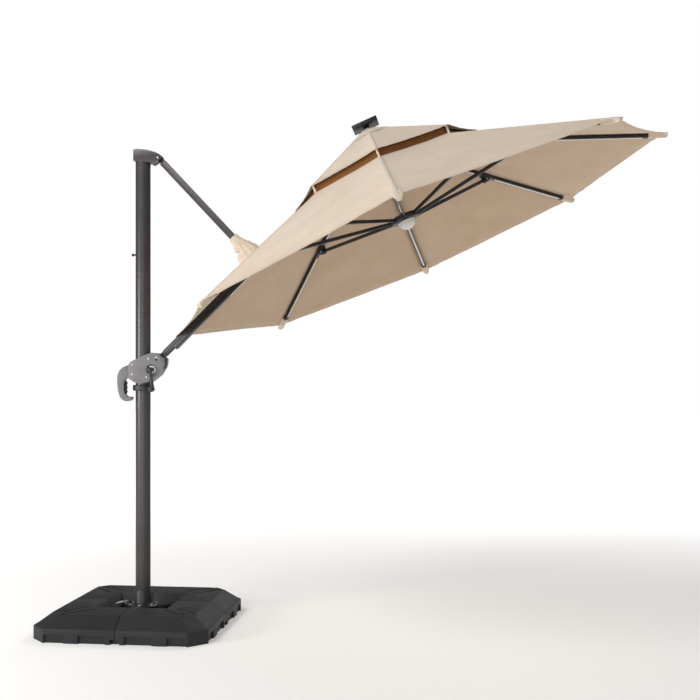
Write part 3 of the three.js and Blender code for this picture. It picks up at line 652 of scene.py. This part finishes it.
for k in range(8):
    place = rib_frame(k)
    on_boom = k == BOOM_SIDE
    if not on_boom:
        rounded(f"rib_{k}", f"rib_bar_{k}", black_coat, 0.002)
    rounded(f"stretcher_{k}", f"stretcher_bar_{k}", black_coat, 0.002)
    # Two cheeks stand outside the ears, and a saddle strap holds them to the rib.
    along = boom_knuckle if on_boom else rib_knuckle
    drop = knuckle_under_boom if on_boom else KNUCKLE_DROP
    shoulder = 0.029 if on_boom else 0.008
    knuckle = bmesh.new()
    step = CHEEK_HALF - CHEEK_STEP
    cheek = ([(along - CHEEK_HALF, -shoulder), (along - step, -shoulder - CHEEK_STEP)]
             + arc(along, -drop, CHEEK_ROUND, 205, 335)
             + [(along + step, -shoulder - CHEEK_STEP), (along + CHEEK_HALF, -shoulder)])
    outer = CHEEK_INNER + CHEEK_THICK
    for low, high in ((CHEEK_INNER, outer), (-outer, -CHEEK_INNER)):
        side_plate(knuckle, cheek, low, high, place)
    bevelled(knuckle, f"knuckle_{k}", abs_black, rib_body(k), 0.0018, 2)
    pin = Vector((along, 0, -drop))
    screws(f"knuckle_bolt_{k}", rib_body(k), [
        (place @ (pin + Vector((0, side * outer, 0))), side * tangent(k))
        for side in (-1, 1)], 0.0058, 0.003)
    if not on_boom:
        saddle = bmesh.new()
        near = RIB_HALF_WIDE + SADDLE_GAP
        far = near + SADDLE_THICK
        for low, high in ((near, far), (-far, -near)):
            side_plate(saddle, [(along - 0.036, -0.0095), (along + 0.036, -0.0095),
                                (along + 0.032, 0.0098), (along - 0.032, 0.0098)], low, high, place)
        bevelled(saddle, f"knuckle_saddle_{k}", abs_black, rib_body(k), 0.0012, 2)
        collar = bmesh.new()
        back, front = rib_length - COLLAR_START, rib_length - COLLAR_END
        outline = [(back, 0.0122), (front, 0.0122), (front, -0.0128), (back + 0.006, -0.0128),
                   (back, -0.0110)]
        side_plate(collar, outline, -COLLAR_HALF, COLLAR_HALF, place)
        bevelled(collar, f"rib_collar_{k}", abs_black, rib_body(k), 0.002, 2)


# ---- Lights --------------------------------------------------------------------------------------
# A frosted acrylic strip is let into the underside of every rib, and a frosted dome under the
# runner covers the lamp board. They look milky white when they are off.
STRIP_HALF_WIDE = 0.0058
STRIP_LET_IN, STRIP_EDGE = 0.0006, 0.0012    # above and below the rib's underside
STRIP_BULGE = 0.35                           # the lens stands out as a flattened half round
UNDER_CHANNEL = 0.0315                       # the boom's channel carries its strip lower
STRIP_SPANS = ((0.10, 0.69), (0.86, 1.42))   # each side of the knuckle, along the rib
BOOM_STRIP_SPANS = ((0.10, 0.66), (0.84, 1.12))
DOME_RADIUS, DOME_RIM, DOME_DEEP = 0.048, 0.0508, 0.042
DOME_HEIGHT = 0.1446                         # its top face, just under the runner


def frosted_acrylic():
    """Frosted acrylic: milky, soft gloss, with light scattered just under its surface."""
    made, tree, shader = new_material(
        "frosted_acrylic", "#cfcfcc", 0.32, 0.0, Subsurface_Weight=0.3, Subsurface_Scale=0.003)
    shader.inputs["Subsurface Radius"].default_value = (1.0, 1.0, 1.0)
    place = add_node(tree, "ShaderNodeTexCoord").outputs["Object"]
    frost = add_node(tree, "ShaderNodeTexNoise", {"Scale": 600.0, "Detail": 2.0}, {"Vector": place})
    sheen = add_node(tree, "ShaderNodeMapRange", {"To Min": 0.26, "To Max": 0.42},
                     {"Value": frost.outputs["Fac"]})
    wire(tree, shader, Roughness=sheen.outputs["Result"])
    return made


acrylic = frosted_acrylic()
for k in range(8):
    place = rib_frame(k)
    under = -UNDER_CHANNEL if k == BOOM_SIDE else -RIB_HALF_TALL
    strip = bmesh.new()
    for low, high in BOOM_STRIP_SPANS if k == BOOM_SIDE else STRIP_SPANS:
        section = ([(-STRIP_HALF_WIDE, STRIP_LET_IN), (-STRIP_HALF_WIDE, -STRIP_EDGE)]
                   + arc(0, -STRIP_EDGE, STRIP_HALF_WIDE, 180, 360, 10)[1:-1]
                   + [(STRIP_HALF_WIDE, -STRIP_EDGE), (STRIP_HALF_WIDE, STRIP_LET_IN)])
        flat = [(y, z if z > -STRIP_EDGE else -STRIP_EDGE + (z + STRIP_EDGE) * STRIP_BULGE)
                for y, z in section]
        prism(strip, *([place @ Vector((x, y, under + z)) for y, z in flat] for x in (low, high)))
    mesh = finished(strip, f"light_strip_{k}")
    link_mesh(f"light_strip_{k}", mesh, acrylic, rib_body(k), 35)

dome_profile = [(0, -0.008 - DOME_DEEP)]
dome_profile += [(DOME_RADIUS * math.sin(a), -0.008 - DOME_DEEP * math.cos(a))
                 for a in (math.pi / 2 * i / 18 for i in range(1, 19))]
dome_profile += [(0.0500, -0.0060), (DOME_RIM, -0.0035), (0.0500, -0.0012), (DOME_RADIUS, 0), (0, 0)]
dome_mesh = turned(dome_profile, 72)
hub_place = Matrix((ACROSS, SIDEWAYS, UPWARDS)).transposed().to_4x4()
hub_place.translation = CANOPY_CENTRE + DOME_HEIGHT * UPWARDS
dome_mesh.transform(hub_place)
link_mesh("frosted_dome", dome_mesh, acrylic, "runner", 35, "light_dome")


# ---- Main canopy ---------------------------------------------------------------------------------
# Eight panels of solution-dyed polyester canvas, joined by felled seams over the ribs and hemmed
# all round. Each piece here is the cloth on either side of one rib, as far as mid-panel.
CLOTH_THICK = 0.0012
SEAM_HALF = 0.0085         # a felled seam is about this wide on each side of the rib
SEAM_RISE = 0.0006
HEM_DEEP = 0.025
MAIN_INNER = 0.520
SAG = 0.013                # how far the middle of a panel hangs under the straight line
HEM_HOLLOW = 0.016         # how far the hem curves in at mid-panel, as a share of the radius
OVER_RIB = 0.017
OVER_BOOM = 0.020 / math.cos(BOOM_DROOP) + 0.006
SLIT_MIDDLE, SLIT_HALF_LONG, SLIT_HALF_WIDE = 0.880, 0.072, 0.032
WEAVE_MM = 2.2             # the threads are about 0.5 mm; drawn coarser so that the weave shows
WRINKLE = 0.0022
FOLD_PITCH = 0.052         # tension folds fan from each corner, this far apart
PULL_ACROSS, PULL_ALONG = 0.16, 0.28


def woven_canvas(name, dark, pale):
    """Plain-woven polyester canvas: matt, beige, with a visible weave and a little see-through."""
    made, tree, shader = new_material(
        name, pale, 0.88, 0.0,
        Subsurface_Weight=0.35, Subsurface_Scale=0.0035, Sheen_Weight=0.12, Sheen_Roughness=0.5)
    shader.inputs["Subsurface Radius"].default_value = (1.0, 0.7, 0.45)
    flat = add_node(tree, "ShaderNodeUVMap", {"uv_map": "cloth"}).outputs["UV"]
    warp = add_node(tree, "ShaderNodeTexWave", {"bands_direction": "X", "Scale": 314 / WEAVE_MM},
                    {"Vector": flat})
    weft = add_node(tree, "ShaderNodeTexWave", {"bands_direction": "Y", "Scale": 314 / WEAVE_MM},
                    {"Vector": flat})
    weave = add_node(tree, "ShaderNodeMath", {"operation": "MULTIPLY"},
                     {0: warp.outputs["Fac"], 1: weft.outputs["Fac"]})
    cloud, tone = mottle(tree, flat, 3.5, 5.0, dark, pale, high=0.72, Roughness=0.6)
    slub = add_node(tree, "ShaderNodeTexNoise", {"Scale": 220.0, "Detail": 2.0}, {"Vector": flat})
    thread = add_node(tree, "ShaderNodeMapRange", {"To Min": 0.93, "To Max": 1.05},
                      {"Value": slub.outputs["Fac"]})
    shade = add_node(tree, "ShaderNodeVectorMath", {"operation": "SCALE"},
                     {"Vector": tone, "Scale": thread.outputs["Result"]})
    bump = add_node(tree, "ShaderNodeBump", {"Strength": 0.35, "Distance": 0.0005},
                    {"Height": weave.outputs["Value"]})
    creases = add_node(tree, "ShaderNodeBump", {"Strength": 0.25, "Distance": 0.004},
                       {"Height": cloud, "Normal": bump.outputs["Normal"]})
    wire(tree, shader, Base_Color=shade.outputs["Vector"], Normal=creases.outputs["Normal"])
    return made


canvas = woven_canvas("polyester_canvas_face", "#c8b7a3", "#d3c3b0")
# The cloth's underside takes a darker copy of the canvas, which is painted shade.
shaded_canvas = woven_canvas("polyester_canvas_painted_shade_inside", "#b19a80", "#bba58b")


def main_height(k, radius):
    if k == BOOM_SIDE:
        return HUB_HEIGHT - (radius - HUB_PIVOT) * math.tan(BOOM_DROOP) + OVER_BOOM
    return HUB_HEIGHT - (radius - HUB_PIVOT) * math.tan(RIB_DROOP) + OVER_RIB


def cloth_point(k, radius, share, height, outer, inner, sag, hollow, wrinkle):
    """A point of the cloth: share 0 to 1 runs from rib k to the next rib."""
    bow = 4 * share * (1 - share)
    out = (radius - inner) / (outer - inner)
    reach = radius * (1 - hollow * bow * out * out)
    here = in_canopy(reach, k * math.pi / 4, height(k, reach))
    there = in_canopy(reach, (k + 1) * math.pi / 4, height((k + 1) % 8, reach))
    point = here.lerp(there, share)
    width = 2 * radius * math.sin(math.pi / 8)
    beside = min(share, 1 - share) * width
    drop = sag * bow * (0.35 + 0.65 * out)
    soft = noise.noise(Vector((5.3 * share + 7.7 * (k % 8), 2.4 * radius, 0.4)))
    pull = math.exp(-beside / PULL_ACROSS) * math.exp(-(outer - radius) / PULL_ALONG)
    fold = math.sin(2 * math.pi * beside / FOLD_PITCH + 0.6 * k) * pull
    still = min(1.0, beside / 0.02)
    lift = -drop + wrinkle * still * (1.1 * soft + 1.3 * fold)
    if beside < SEAM_HALF:
        lift += SEAM_RISE
    if radius > outer - HEM_DEEP:
        lift += 0.0009
    return point + lift * UPWARDS


def half_columns(width, count):
    """Distances from the rib to mid-panel: close over the seam, then even."""
    seam = [0, 0.004, SEAM_HALF - 0.0008, SEAM_HALF + 0.0001]
    return seam + [seam[-1] + (width / 2 - seam[-1]) * i / count for i in range(1, count + 1)]


def cloth_grid(k, rows, height, outer, inner, sag, hollow, wrinkle, count=15):
    """Rows of points of the cloth round rib k, from mid-panel to mid-panel, with flat places."""
    points, flats = [], []
    slant = 1 / math.cos(RIB_DROOP)
    for radius in rows:
        width = 2 * radius * math.sin(math.pi / 8)
        out = half_columns(width, count)
        before = [((k - 1) % 8, 1 - d / width, -d) for d in out[:0:-1]]
        after = [(k, d / width, d) for d in out]
        points.append([cloth_point(side, radius, share, height, outer, inner, sag, hollow, wrinkle)
                       for side, share, _ in before + after])
        flats.append([(d + k * 1.7, radius * slant) for _, _, d in before + after])
    return points, flats


def lay_flat(mesh, flat_place):
    """Writes the cloth's flat places as its UV map; flat_place gives a vertex number's (u, v)."""
    uv = mesh.uv_layers.new(name="cloth")
    for loop in mesh.loops:
        uv.data[loop.index].uv = flat_place(loop.vertex_index)


def quad_area(a, b, c, d):
    return ((b - a).cross(d - a).length + (b - c).cross(d - c).length) / 2


def cloth_shell(name, points, flats, holes, body):
    """A closed thin shell over a grid of points, without the quads in holes."""
    rows, columns = len(points), len(points[0])
    grid = np.array([[tuple(p) for p in row] for row in points])
    down = np.gradient(grid, axis=0)
    side = np.gradient(grid, axis=1)
    normal = np.cross(down, side)
    normal /= np.linalg.norm(normal, axis=2, keepdims=True)
    if normal[rows // 2, columns // 2] @ np.array(UPWARDS) < 0:
        normal = -normal
    under = grid - normal * CLOTH_THICK
    vertices = [tuple(p) for p in grid.reshape(-1, 3)] + [tuple(p) for p in under.reshape(-1, 3)]
    below = rows * columns
    kept = {(r, c) for r in range(rows - 1) for c in range(columns - 1)} - holes
    faces = []
    for r, c in sorted(kept):
        first = r * columns + c
        loop = [first, first + columns, first + columns + 1, first + 1]
        faces.append(loop)
        faces.append([below + i for i in reversed(loop)])
        # A wall closes each side that has no neighbour.
        for side_at, (dr, dc) in enumerate(((0, -1), (1, 0), (0, 1), (-1, 0))):
            if (r + dr, c + dc) not in kept:
                a, b = loop[side_at], loop[(side_at + 1) % 4]
                faces.append([b, a, below + a, below + b])
    mesh = bpy.data.meshes.new(name)
    mesh.from_pydata(vertices, [], faces)
    flat = [f for row in flats for f in row] * 2
    lay_flat(mesh, lambda vertex: flat[vertex])
    made = bmesh.new()
    made.from_mesh(mesh)
    bmesh.ops.delete(made, geom=[v for v in made.verts if not v.link_faces], context="VERTS")
    bmesh.ops.recalc_face_normals(made, faces=made.faces)
    made.to_mesh(mesh)
    made.free()
    piece = link_mesh(name, mesh, canvas, body)
    # Faces that look down take the darker copy of the canvas: painted shade under the cloth.
    mesh.materials.append(shaded_canvas)
    for face in mesh.polygons:
        face.material_index = int(face.normal.dot(UPWARDS) < 0)
    smooth(mesh, 60)
    area = sum(quad_area(points[r][c], points[r + 1][c], points[r + 1][c + 1], points[r][c + 1])
               for r, c in kept)
    return piece, area


def spread(low, high, step, extra=()):
    """Even rows from low to high, with the extra ones in place of those that lie close by."""
    count = max(2, round((high - low) / step))
    rows = [low + (high - low) * i / count for i in range(count + 1)]
    rows = [r for r in rows if all(abs(r - e) > 0.004 for e in extra)] + list(extra)
    return sorted(rows)


main_rows = spread(MAIN_INNER, CANOPY_RADIUS, 0.022, (
    SLIT_MIDDLE - SLIT_HALF_LONG, SLIT_MIDDLE + SLIT_HALF_LONG,
    CANOPY_RADIUS - HEM_DEEP - 0.0005, CANOPY_RADIUS - HEM_DEEP + 0.0005))
main_sheets = {}
main_grids = {}
main_areas = {}
for k in range(8):
    points, flats = cloth_grid(
        k, main_rows, main_height, CANOPY_RADIUS, MAIN_INNER, SAG, HEM_HOLLOW, WRINKLE)
    holes = set()
    if k == BOOM_SIDE:
        for r in range(len(main_rows) - 1):
            middle = (main_rows[r] + main_rows[r + 1]) / 2
            for c in range(len(points[0]) - 1):
                across = ((points[r][c] + points[r][c + 1]) / 2 - CANOPY_CENTRE).dot(tangent(k))
                if abs(middle - SLIT_MIDDLE) < SLIT_HALF_LONG and abs(across) < SLIT_HALF_WIDE:
                    holes.add((r, c))
    main_sheets[k], main_areas[k] = cloth_shell(f"canopy_cloth_{k}", points, flats, holes, rib_body(k))
    main_grids[k] = points
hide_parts("main_canopy")


# ---- Stitches and pockets of the main canopy -----------------------------------------------------
# Two rows of lock stitch hold each felled seam, and one row holds the hem. The thread is thicker
# than the cloth's own. A pocket sewn under each corner takes the rib's end.
def stitch_tree():
    tree, given = sized_tree("lock_stitch", ("Pitch", "Length", "Thread"))
    line = add_node(tree, "GeometryNodeMeshToCurve", links={"Mesh": given["Geometry"]})
    even = add_node(tree, "GeometryNodeResampleCurve", {"mode": "LENGTH"},
                    {"Curve": line.outputs["Curve"], "Length": given["Pitch"]})
    way = add_node(tree, "GeometryNodeInputTangent")
    turn = add_node(tree, "FunctionNodeAlignRotationToVector", {"axis": "Z"},
                    {"Vector": way.outputs["Tangent"]})
    stitch = add_node(tree, "GeometryNodeMeshCylinder", {"Vertices": 5},
                      {"Radius": given["Thread"], "Depth": given["Length"]})
    placed = add_node(tree, "GeometryNodeInstanceOnPoints", links={
        "Points": even.outputs["Curve"], "Instance": stitch.outputs["Mesh"],
        "Rotation": turn.outputs["Rotation"]})
    return end_tree(tree, placed, given["Finish"])


STITCHES = stitch_tree()
STITCH_PITCH = 0.0085      # a real lock stitch is 3 to 4 mm long; drawn longer so that it shows
STITCH_LONG = 0.0055
THREAD_RADIUS = 0.0006
thread, _, _ = new_material("sewing_thread", "#b5a38d", 0.7)


def stitched(name, body, lines):
    """Stitches along lines of points."""
    mesh = bpy.data.meshes.new(name)
    vertices, edges = [], []
    for line in lines:
        start = len(vertices)
        vertices += [tuple(p) for p in line]
        edges += [(start + i, start + i + 1) for i in range(len(line) - 1)]
    mesh.from_pydata(vertices, edges, [])
    made = bpy.data.objects.new(name, mesh)
    bpy.context.scene.collection.objects.link(made)
    run_tree(made, STITCHES, {"Pitch": STITCH_PITCH, "Length": STITCH_LONG, "Thread": THREAD_RADIUS,
                              "Finish": thread})
    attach(made, body)
    return made


def fold_cloth(made):
    """Gives the cloth its own copy of its mesh."""
    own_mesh(made)


def seam_lines(points, rows, outer, slit=False):
    """Two rows of points beside the rib and one along the hem, just over the cloth."""
    middle = len(points[0]) // 2
    lines = []
    for step in (-1, 1):
        line = [points[r][middle + 2 * step] + 0.0002 * UPWARDS for r in range(len(rows))
                if not (slit and abs(rows[r] - SLIT_MIDDLE) < SLIT_HALF_LONG + 0.03)]
        if slit:
            cut = sum(r < SLIT_MIDDLE - SLIT_HALF_LONG - 0.03 for r in rows)
            lines += [line[:cut], line[cut:]]
        else:
            lines.append(line)
    hem = max(i for i, r in enumerate(rows) if r <= outer - HEM_DEEP + 0.001)
    edge = [a.lerp(b, 0.25) + 0.0003 * UPWARDS for a, b in zip(points[hem], points[hem + 1])]
    return lines + [edge]


POCKET_SIDES = 20
POCKET_FLARE = 1.1         # the pocket widens towards the cloth that it is sewn to
POCKET_TOP = 0.0150
# Place from the rib's end, half width and depth under the rib, from the mouth to the closed end.
POCKET_RINGS = ((-0.092, 0.0140, 0.0118), (-0.088, 0.0150, 0.0124), (-0.060, 0.0142, 0.0120),
                (-0.020, 0.0136, 0.0118), (0.003, 0.0126, 0.0108), (0.0106, 0.0118, 0.0050))


def squared(part):
    """Squares a ring off: its sine or cosine, pushed out towards the corners."""
    return math.copysign(abs(part) ** 0.5, part)


def skin(shape, rings):
    """Joins each ring of vertices to the next with quads."""
    for a, b in zip(rings, rings[1:]):
        for i in range(len(a)):
            j = (i + 1) % len(a)
            shape.faces.new((a[i], a[j], b[j], b[i]))


for k in range(8):
    place = rib_frame(k)
    seams = stitched(f"canopy_stitches_{k}", rib_body(k),
                     seam_lines(main_grids[k], main_rows, CANOPY_RADIUS, k == BOOM_SIDE))
    if k != BOOM_SIDE:
        pocket = bmesh.new()
        rings = []
        for x, wide, tall in POCKET_RINGS:
            ring = []
            for i in range(POCKET_SIDES):
                turn = 2 * math.pi * i / POCKET_SIDES
                z = squared(math.sin(turn))
                y = wide * (1 + POCKET_FLARE * max(0, z)) * squared(math.cos(turn))
                z *= tall if z < 0 else POCKET_TOP
                ring.append(pocket.verts.new(place @ Vector((rib_length + x, y, z))))
            rings.append(ring)
        skin(pocket, rings)
        pocket.faces.new(rings[0][::-1])
        pocket.faces.new(rings[-1])
        mesh = finished(pocket, f"tip_pocket_{k}")
        to_rib = place.inverted()
        lay_flat(mesh, lambda vertex: (to_rib @ mesh.vertices[vertex].co).xy)
        link_mesh(f"tip_pocket_{k}", mesh, canvas, rib_body(k), 60)
    fold_cloth(main_sheets[k])
    fold_cloth(seams)


# ---- Vent tier -----------------------------------------------------------------------------------
# A smaller eight-sided tier over the opening at the top lets wind out. Short stand-offs in canvas
# sleeves hold its corners over the ribs, and a crown piece closes it round the post.
VENT_INNER, VENT_RADIUS = 0.080, 0.560
VENT_TOP, VENT_HEM = (0.026, 0.710), (0.560, 0.452)
VENT_SAG, VENT_HOLLOW, VENT_WRINKLE = 0.006, 0.012, 0.0012
POST_RADIUS = VENT_RADIUS - 0.018
POST_FOOT, POST_THIN = 0.011, 0.0065         # half widths of a stand-off's ends and middle
vent_slope = (VENT_TOP[1] - VENT_HEM[1]) / (VENT_HEM[0] - VENT_TOP[0])


def vent_height(k, radius):
    return VENT_TOP[1] - (radius - VENT_TOP[0]) * vent_slope


vent_rows = spread(VENT_INNER, VENT_RADIUS, 0.023,
                   (VENT_RADIUS - HEM_DEEP - 0.0005, VENT_RADIUS - HEM_DEEP + 0.0005))
for k in range(8):
    points, flats = cloth_grid(k, vent_rows, vent_height, VENT_RADIUS, VENT_INNER,
                               VENT_SAG, VENT_HOLLOW, VENT_WRINKLE, 9)
    piece, area = cloth_shell(f"vent_cloth_{k}", points, flats, set(), rib_body(k))
    seams = stitched(f"vent_stitches_{k}", rib_body(k), seam_lines(points, vent_rows, VENT_RADIUS))
    turn = k * math.pi / 4
    on_rib = main_height(k, POST_RADIUS) - (OVER_BOOM if k == BOOM_SIDE else OVER_RIB)
    corner = in_canopy(POST_RADIUS, turn, vent_height(k, POST_RADIUS) - 0.0015)
    foot = in_canopy(POST_RADIUS, turn, on_rib + 0.004)
    tall = (corner - foot).length
    post = turned([(0, 0), (POST_FOOT, 0), (0.0115, 0.002), (0.0075, 0.006), (POST_THIN, 0.010),
                   (POST_THIN, tall - 0.007), (POST_FOOT, tall - 0.003), (POST_FOOT, tall), (0, tall)], 20)
    turned_up = UPWARDS.to_track_quat("Z", "Y").to_matrix().to_4x4()
    post.transform(Matrix.Translation(foot) @ turned_up)
    lay_flat(post, lambda vertex: ((post.vertices[vertex].co - foot).dot(tangent(k)),
                                   (post.vertices[vertex].co - foot).dot(UPWARDS)))
    link_mesh(f"vent_spacer_{k}", post, canvas, rib_body(k), 35)
    fold_cloth(piece)
    fold_cloth(seams)
    if k == 0:
        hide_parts("vent_canopy")


# ---- Vent net ------------------------------------------------------------------------------------
# A band of knitted net is sewn from the main canopy's top edge to the vent tier, with a black band
# along its top, and lets the air out. Its brown is painted light: the warm glow through the cloth.
NET_ROWS = 6
NET_TALL = 0.062
NET_BLACK_BAND = 0.045           # the black band starts this far up the net
NET_TOP_RADIUS = 0.508
NET_HOLES = 260.0          # to a metre; the real net is about four times finer, too fine to show


def vent_net():
    """Knitted polyester net with a black band along its top edge. Its brown is painted light, the warm glow of
    light through the canopy's cloth.
    """
    made, tree, shader = new_material("knitted_net_painted_light", "#6e431c", 0.85)
    flat = add_node(tree, "ShaderNodeUVMap", {"uv_map": "cloth"}).outputs["UV"]
    holes = add_node(tree, "ShaderNodeTexVoronoi", {"Scale": NET_HOLES}, {"Vector": flat})
    tone = add_node(tree, "ShaderNodeValToRGB", links={"Fac": holes.outputs["Distance"]})
    # These browns are painted light, the glow of light through the canopy's cloth, broken up by the net's holes.
    for stop, position, colour in zip(tone.color_ramp.elements, (0.15, 0.5), ("#532d0c", "#8a5a2a")):
        stop.position = position
        stop.color = linear(colour)
    parts = add_node(tree, "ShaderNodeSeparateXYZ", links={"Vector": flat})
    black_band = add_node(tree, "ShaderNodeMath", {"operation": "GREATER_THAN", 1: NET_BLACK_BAND},
                    {0: parts.outputs["Y"]})
    mixed = add_node(tree, "ShaderNodeMix", {"data_type": "RGBA"}, {"Factor": black_band.outputs["Value"]})
    tree.links.new(tone.outputs["Color"], mixed.inputs[6])
    mixed.inputs[7].default_value = linear("#161514")
    bump = add_node(tree, "ShaderNodeBump", {"Strength": 0.5, "Distance": 0.0006},
                    {"Height": holes.outputs["Distance"]})
    wire(tree, shader, Base_Color=mixed.outputs[2], Normal=bump.outputs["Normal"])
    return made


net = vent_net()
width = 2 * MAIN_INNER * math.sin(math.pi / 8)
out = half_columns(width, 9)
for k in range(8):
    foot, head, flats = [], [], []
    before = [((k - 1) % 8, 1 - d / width, -d) for d in out[:0:-1]]
    for side, share, d in before + [(k, d / width, d) for d in out]:
        foot.append(cloth_point(side, MAIN_INNER + 0.004, share, main_height, CANOPY_RADIUS, MAIN_INNER,
                                SAG, HEM_HOLLOW, WRINKLE) - 0.0022 * UPWARDS)
        head.append(cloth_point(side, NET_TOP_RADIUS, share, vent_height, VENT_RADIUS, VENT_INNER,
                                VENT_SAG, VENT_HOLLOW, VENT_WRINKLE) - 0.0026 * UPWARDS)
        flats.append(d)
    grid = [[a.lerp(b, i / NET_ROWS) for a, b in zip(foot, head)] for i in range(NET_ROWS + 1)]
    flat = [[(d + k * 0.5, NET_TALL * i / NET_ROWS) for d in flats] for i in range(NET_ROWS + 1)]
    band, area = cloth_shell(f"vent_net_{k}", grid, flat, set(), rib_body(k))
    band.data.materials.clear()
    band.data.materials.append(net)
    for face in band.data.polygons:
        face.material_index = 0
    fold_cloth(band)
    tall = max((b - a).length for a, b in zip(foot, head))


# ---- Crown of the vent tier ----------------------------------------------------------------------
# A doubled octagon of the canvas covers the ends of the panels, and the post of the solar panel
# comes through its middle.
CROWN_ROWS = (0.026, 0.045, 0.070, 0.095, 0.120, 0.150)
CROWN_TOP, CROWN_UNDER = 0.0022, 0.0008      # its faces' heights over the vent tier
CROWN_HOLLOW, CROWN_DIP = 0.07, 0.004        # how far it draws in and down between two corners


def crown_ring(shape, radius, lift):
    return [shape.verts.new(in_canopy(radius * (1 - CROWN_HOLLOW * (i % 2)), i * math.pi / 8,
                                      vent_height(0, radius) + lift - CROWN_DIP * (i % 2) * radius))
            for i in range(16)]


crown = bmesh.new()
crown_rings = [crown_ring(crown, radius, CROWN_TOP) for radius in CROWN_ROWS]
crown_rings += [crown_ring(crown, radius, CROWN_UNDER) for radius in CROWN_ROWS[::-1]]
skin(crown, crown_rings + crown_rings[:1])
crown_mesh = finished(crown, "vent_crown")
lay_flat(crown_mesh, lambda vertex: ((crown_mesh.vertices[vertex].co - CANOPY_CENTRE).dot(ACROSS),
                                     (crown_mesh.vertices[vertex].co - CANOPY_CENTRE).dot(SIDEWAYS)))
crown_piece = link_mesh("vent_crown", crown_mesh, canvas, "top_hub", 40)


# ---- Strut boot ----------------------------------------------------------------------------------
# A loose gathered sleeve of the same canvas is sewn round the slit and cinched on the strut, so
# that rain stays off the elbow.
elbow = Vector(joint["elbow"]["pos_m"])
strut_top = Vector(joint["tilt"]["pos_m"])
up_strut = (strut_top - elbow).normalized()
boom_frame = rib_frame(BOOM_SIDE)
boom_way = boom_frame.col[0].to_3d()
boom_up = boom_frame.col[2].to_3d()
BOOT_BASE, BOOT_TOP = 0.026, 0.195           # up the boom's side, and up the strut
BOOT_ROWS, BOOT_SIDES = 30, 96
BOOT_WALL = 0.0014
BASE_LONG, CUFF_LONG = 0.078, 0.0290         # half sizes along the boom and across it
BASE_WIDE, CUFF_WIDE = 0.050, 0.0225
BOOT_BEND = 0.03
BOOT_SQUARE = 2.6                            # 2 is an ellipse; more squares the section off
GATHERS, GATHER_DEEP = 13, 0.0012
CRUSH_DEEP = 0.0016
ROLLS, ROLL_DEEP = 4.5, 0.0010


def boot_ring(shape, share, wall):
    """A ring of the sleeve: share 0 at the cloth, 1 at the strut's cuff."""
    base = elbow + boom_up * BOOT_BASE
    cuff = elbow + up_strut * BOOT_TOP
    middle = base.lerp(cuff, share) + (boom_up - up_strut) * BOOT_BEND * share * (1 - share)
    lean = boom_way.lerp((up_strut.cross(SIDEWAYS) * -1), share).normalized()
    if lean.dot(boom_way) < 0:
        lean = -lean
    ease = share * share * (3 - 2 * share)
    long = BASE_LONG * (1 - ease) + CUFF_LONG * ease - wall
    wide = BASE_WIDE * (1 - ease) + CUFF_WIDE * ease - wall
    loose = math.sin(math.pi * share)
    ring = []
    for i in range(BOOT_SIDES):
        turn = 2 * math.pi * i / BOOT_SIDES
        cos, sin = math.cos(turn), math.sin(turn)
        form = (abs(cos) ** BOOT_SQUARE + abs(sin) ** BOOT_SQUARE) ** (-1 / BOOT_SQUARE)
        gather = GATHER_DEEP * math.sin(GATHERS * turn + 3 * share) * (0.4 + 0.6 * loose)
        crush = CRUSH_DEEP * noise.noise(Vector((2.2 * cos, 2.2 * sin, 7.0 * share))) * loose
        roll = ROLL_DEEP * math.sin(2 * math.pi * ROLLS * share + 1.2 * math.sin(2 * turn)) * loose
        far = 1 + (gather + crush + roll) / 0.04
        place = middle + lean * long * form * cos * far + SIDEWAYS * wide * form * sin * far
        ring.append(shape.verts.new(place))
    return ring


def boot_flat(vertex):
    ring, i = divmod(vertex, BOOT_SIDES)
    return i * 0.0032, min(ring, 2 * BOOT_ROWS + 1 - ring) * 0.0042


boot = bmesh.new()
boot_rings = [boot_ring(boot, i / BOOT_ROWS, 0) for i in range(BOOT_ROWS + 1)]
boot_rings += [boot_ring(boot, i / BOOT_ROWS, BOOT_WALL) for i in range(BOOT_ROWS, -1, -1)]
skin(boot, boot_rings + boot_rings[:1])
boot_mesh = finished(boot, "strut_sleeve")
lay_flat(boot_mesh, boot_flat)
sleeve = link_mesh("strut_sleeve", boot_mesh, canvas, None, 70, "strut_boot")
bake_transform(sleeve)


# ---- Solar panel ---------------------------------------------------------------------------------
# A square panel on the apex charges the lamps: dark silicon cells with silver bus lines under
# tempered glass, in a black housing.
CELL_MM = 30.0


def solar_cells():
    """Silicon cells under glass: near-black blue, very glossy, crossed by thin silver lines."""
    made, tree, shader = new_material("silicon_cells_under_glass", "#0c1119", 0.12, 0.0,
                                      Coat_Weight=0.8, Coat_Roughness=0.05)
    place = add_node(tree, "ShaderNodeTexCoord").outputs["Object"]
    level = add_node(tree, "ShaderNodeMapping", {"Rotation": (0, CANOPY_TILT, 0)}, {"Vector": place})
    bars = add_node(tree, "ShaderNodeTexBrick", {
        "offset": 0.0, "Color1": linear("#0c1119"), "Color2": linear("#10151f"),
        "Mortar": linear("#5b6270"), "Scale": 1.0, "Mortar Size": 0.0007,
        "Brick Width": CELL_MM / 1000, "Row Height": CELL_MM / 2000}, {"Vector": level.outputs["Vector"]})
    wire(tree, shader, Base_Color=bars.outputs["Color"])
    return made


rounded("solar_housing", "panel_housing", moulded_abs("moulded_abs_deep_black", "#070708", 0.5),
        0.002, 2)
rounded("solar_panel", "solar_glass_plate", solar_cells(), 0.0006)
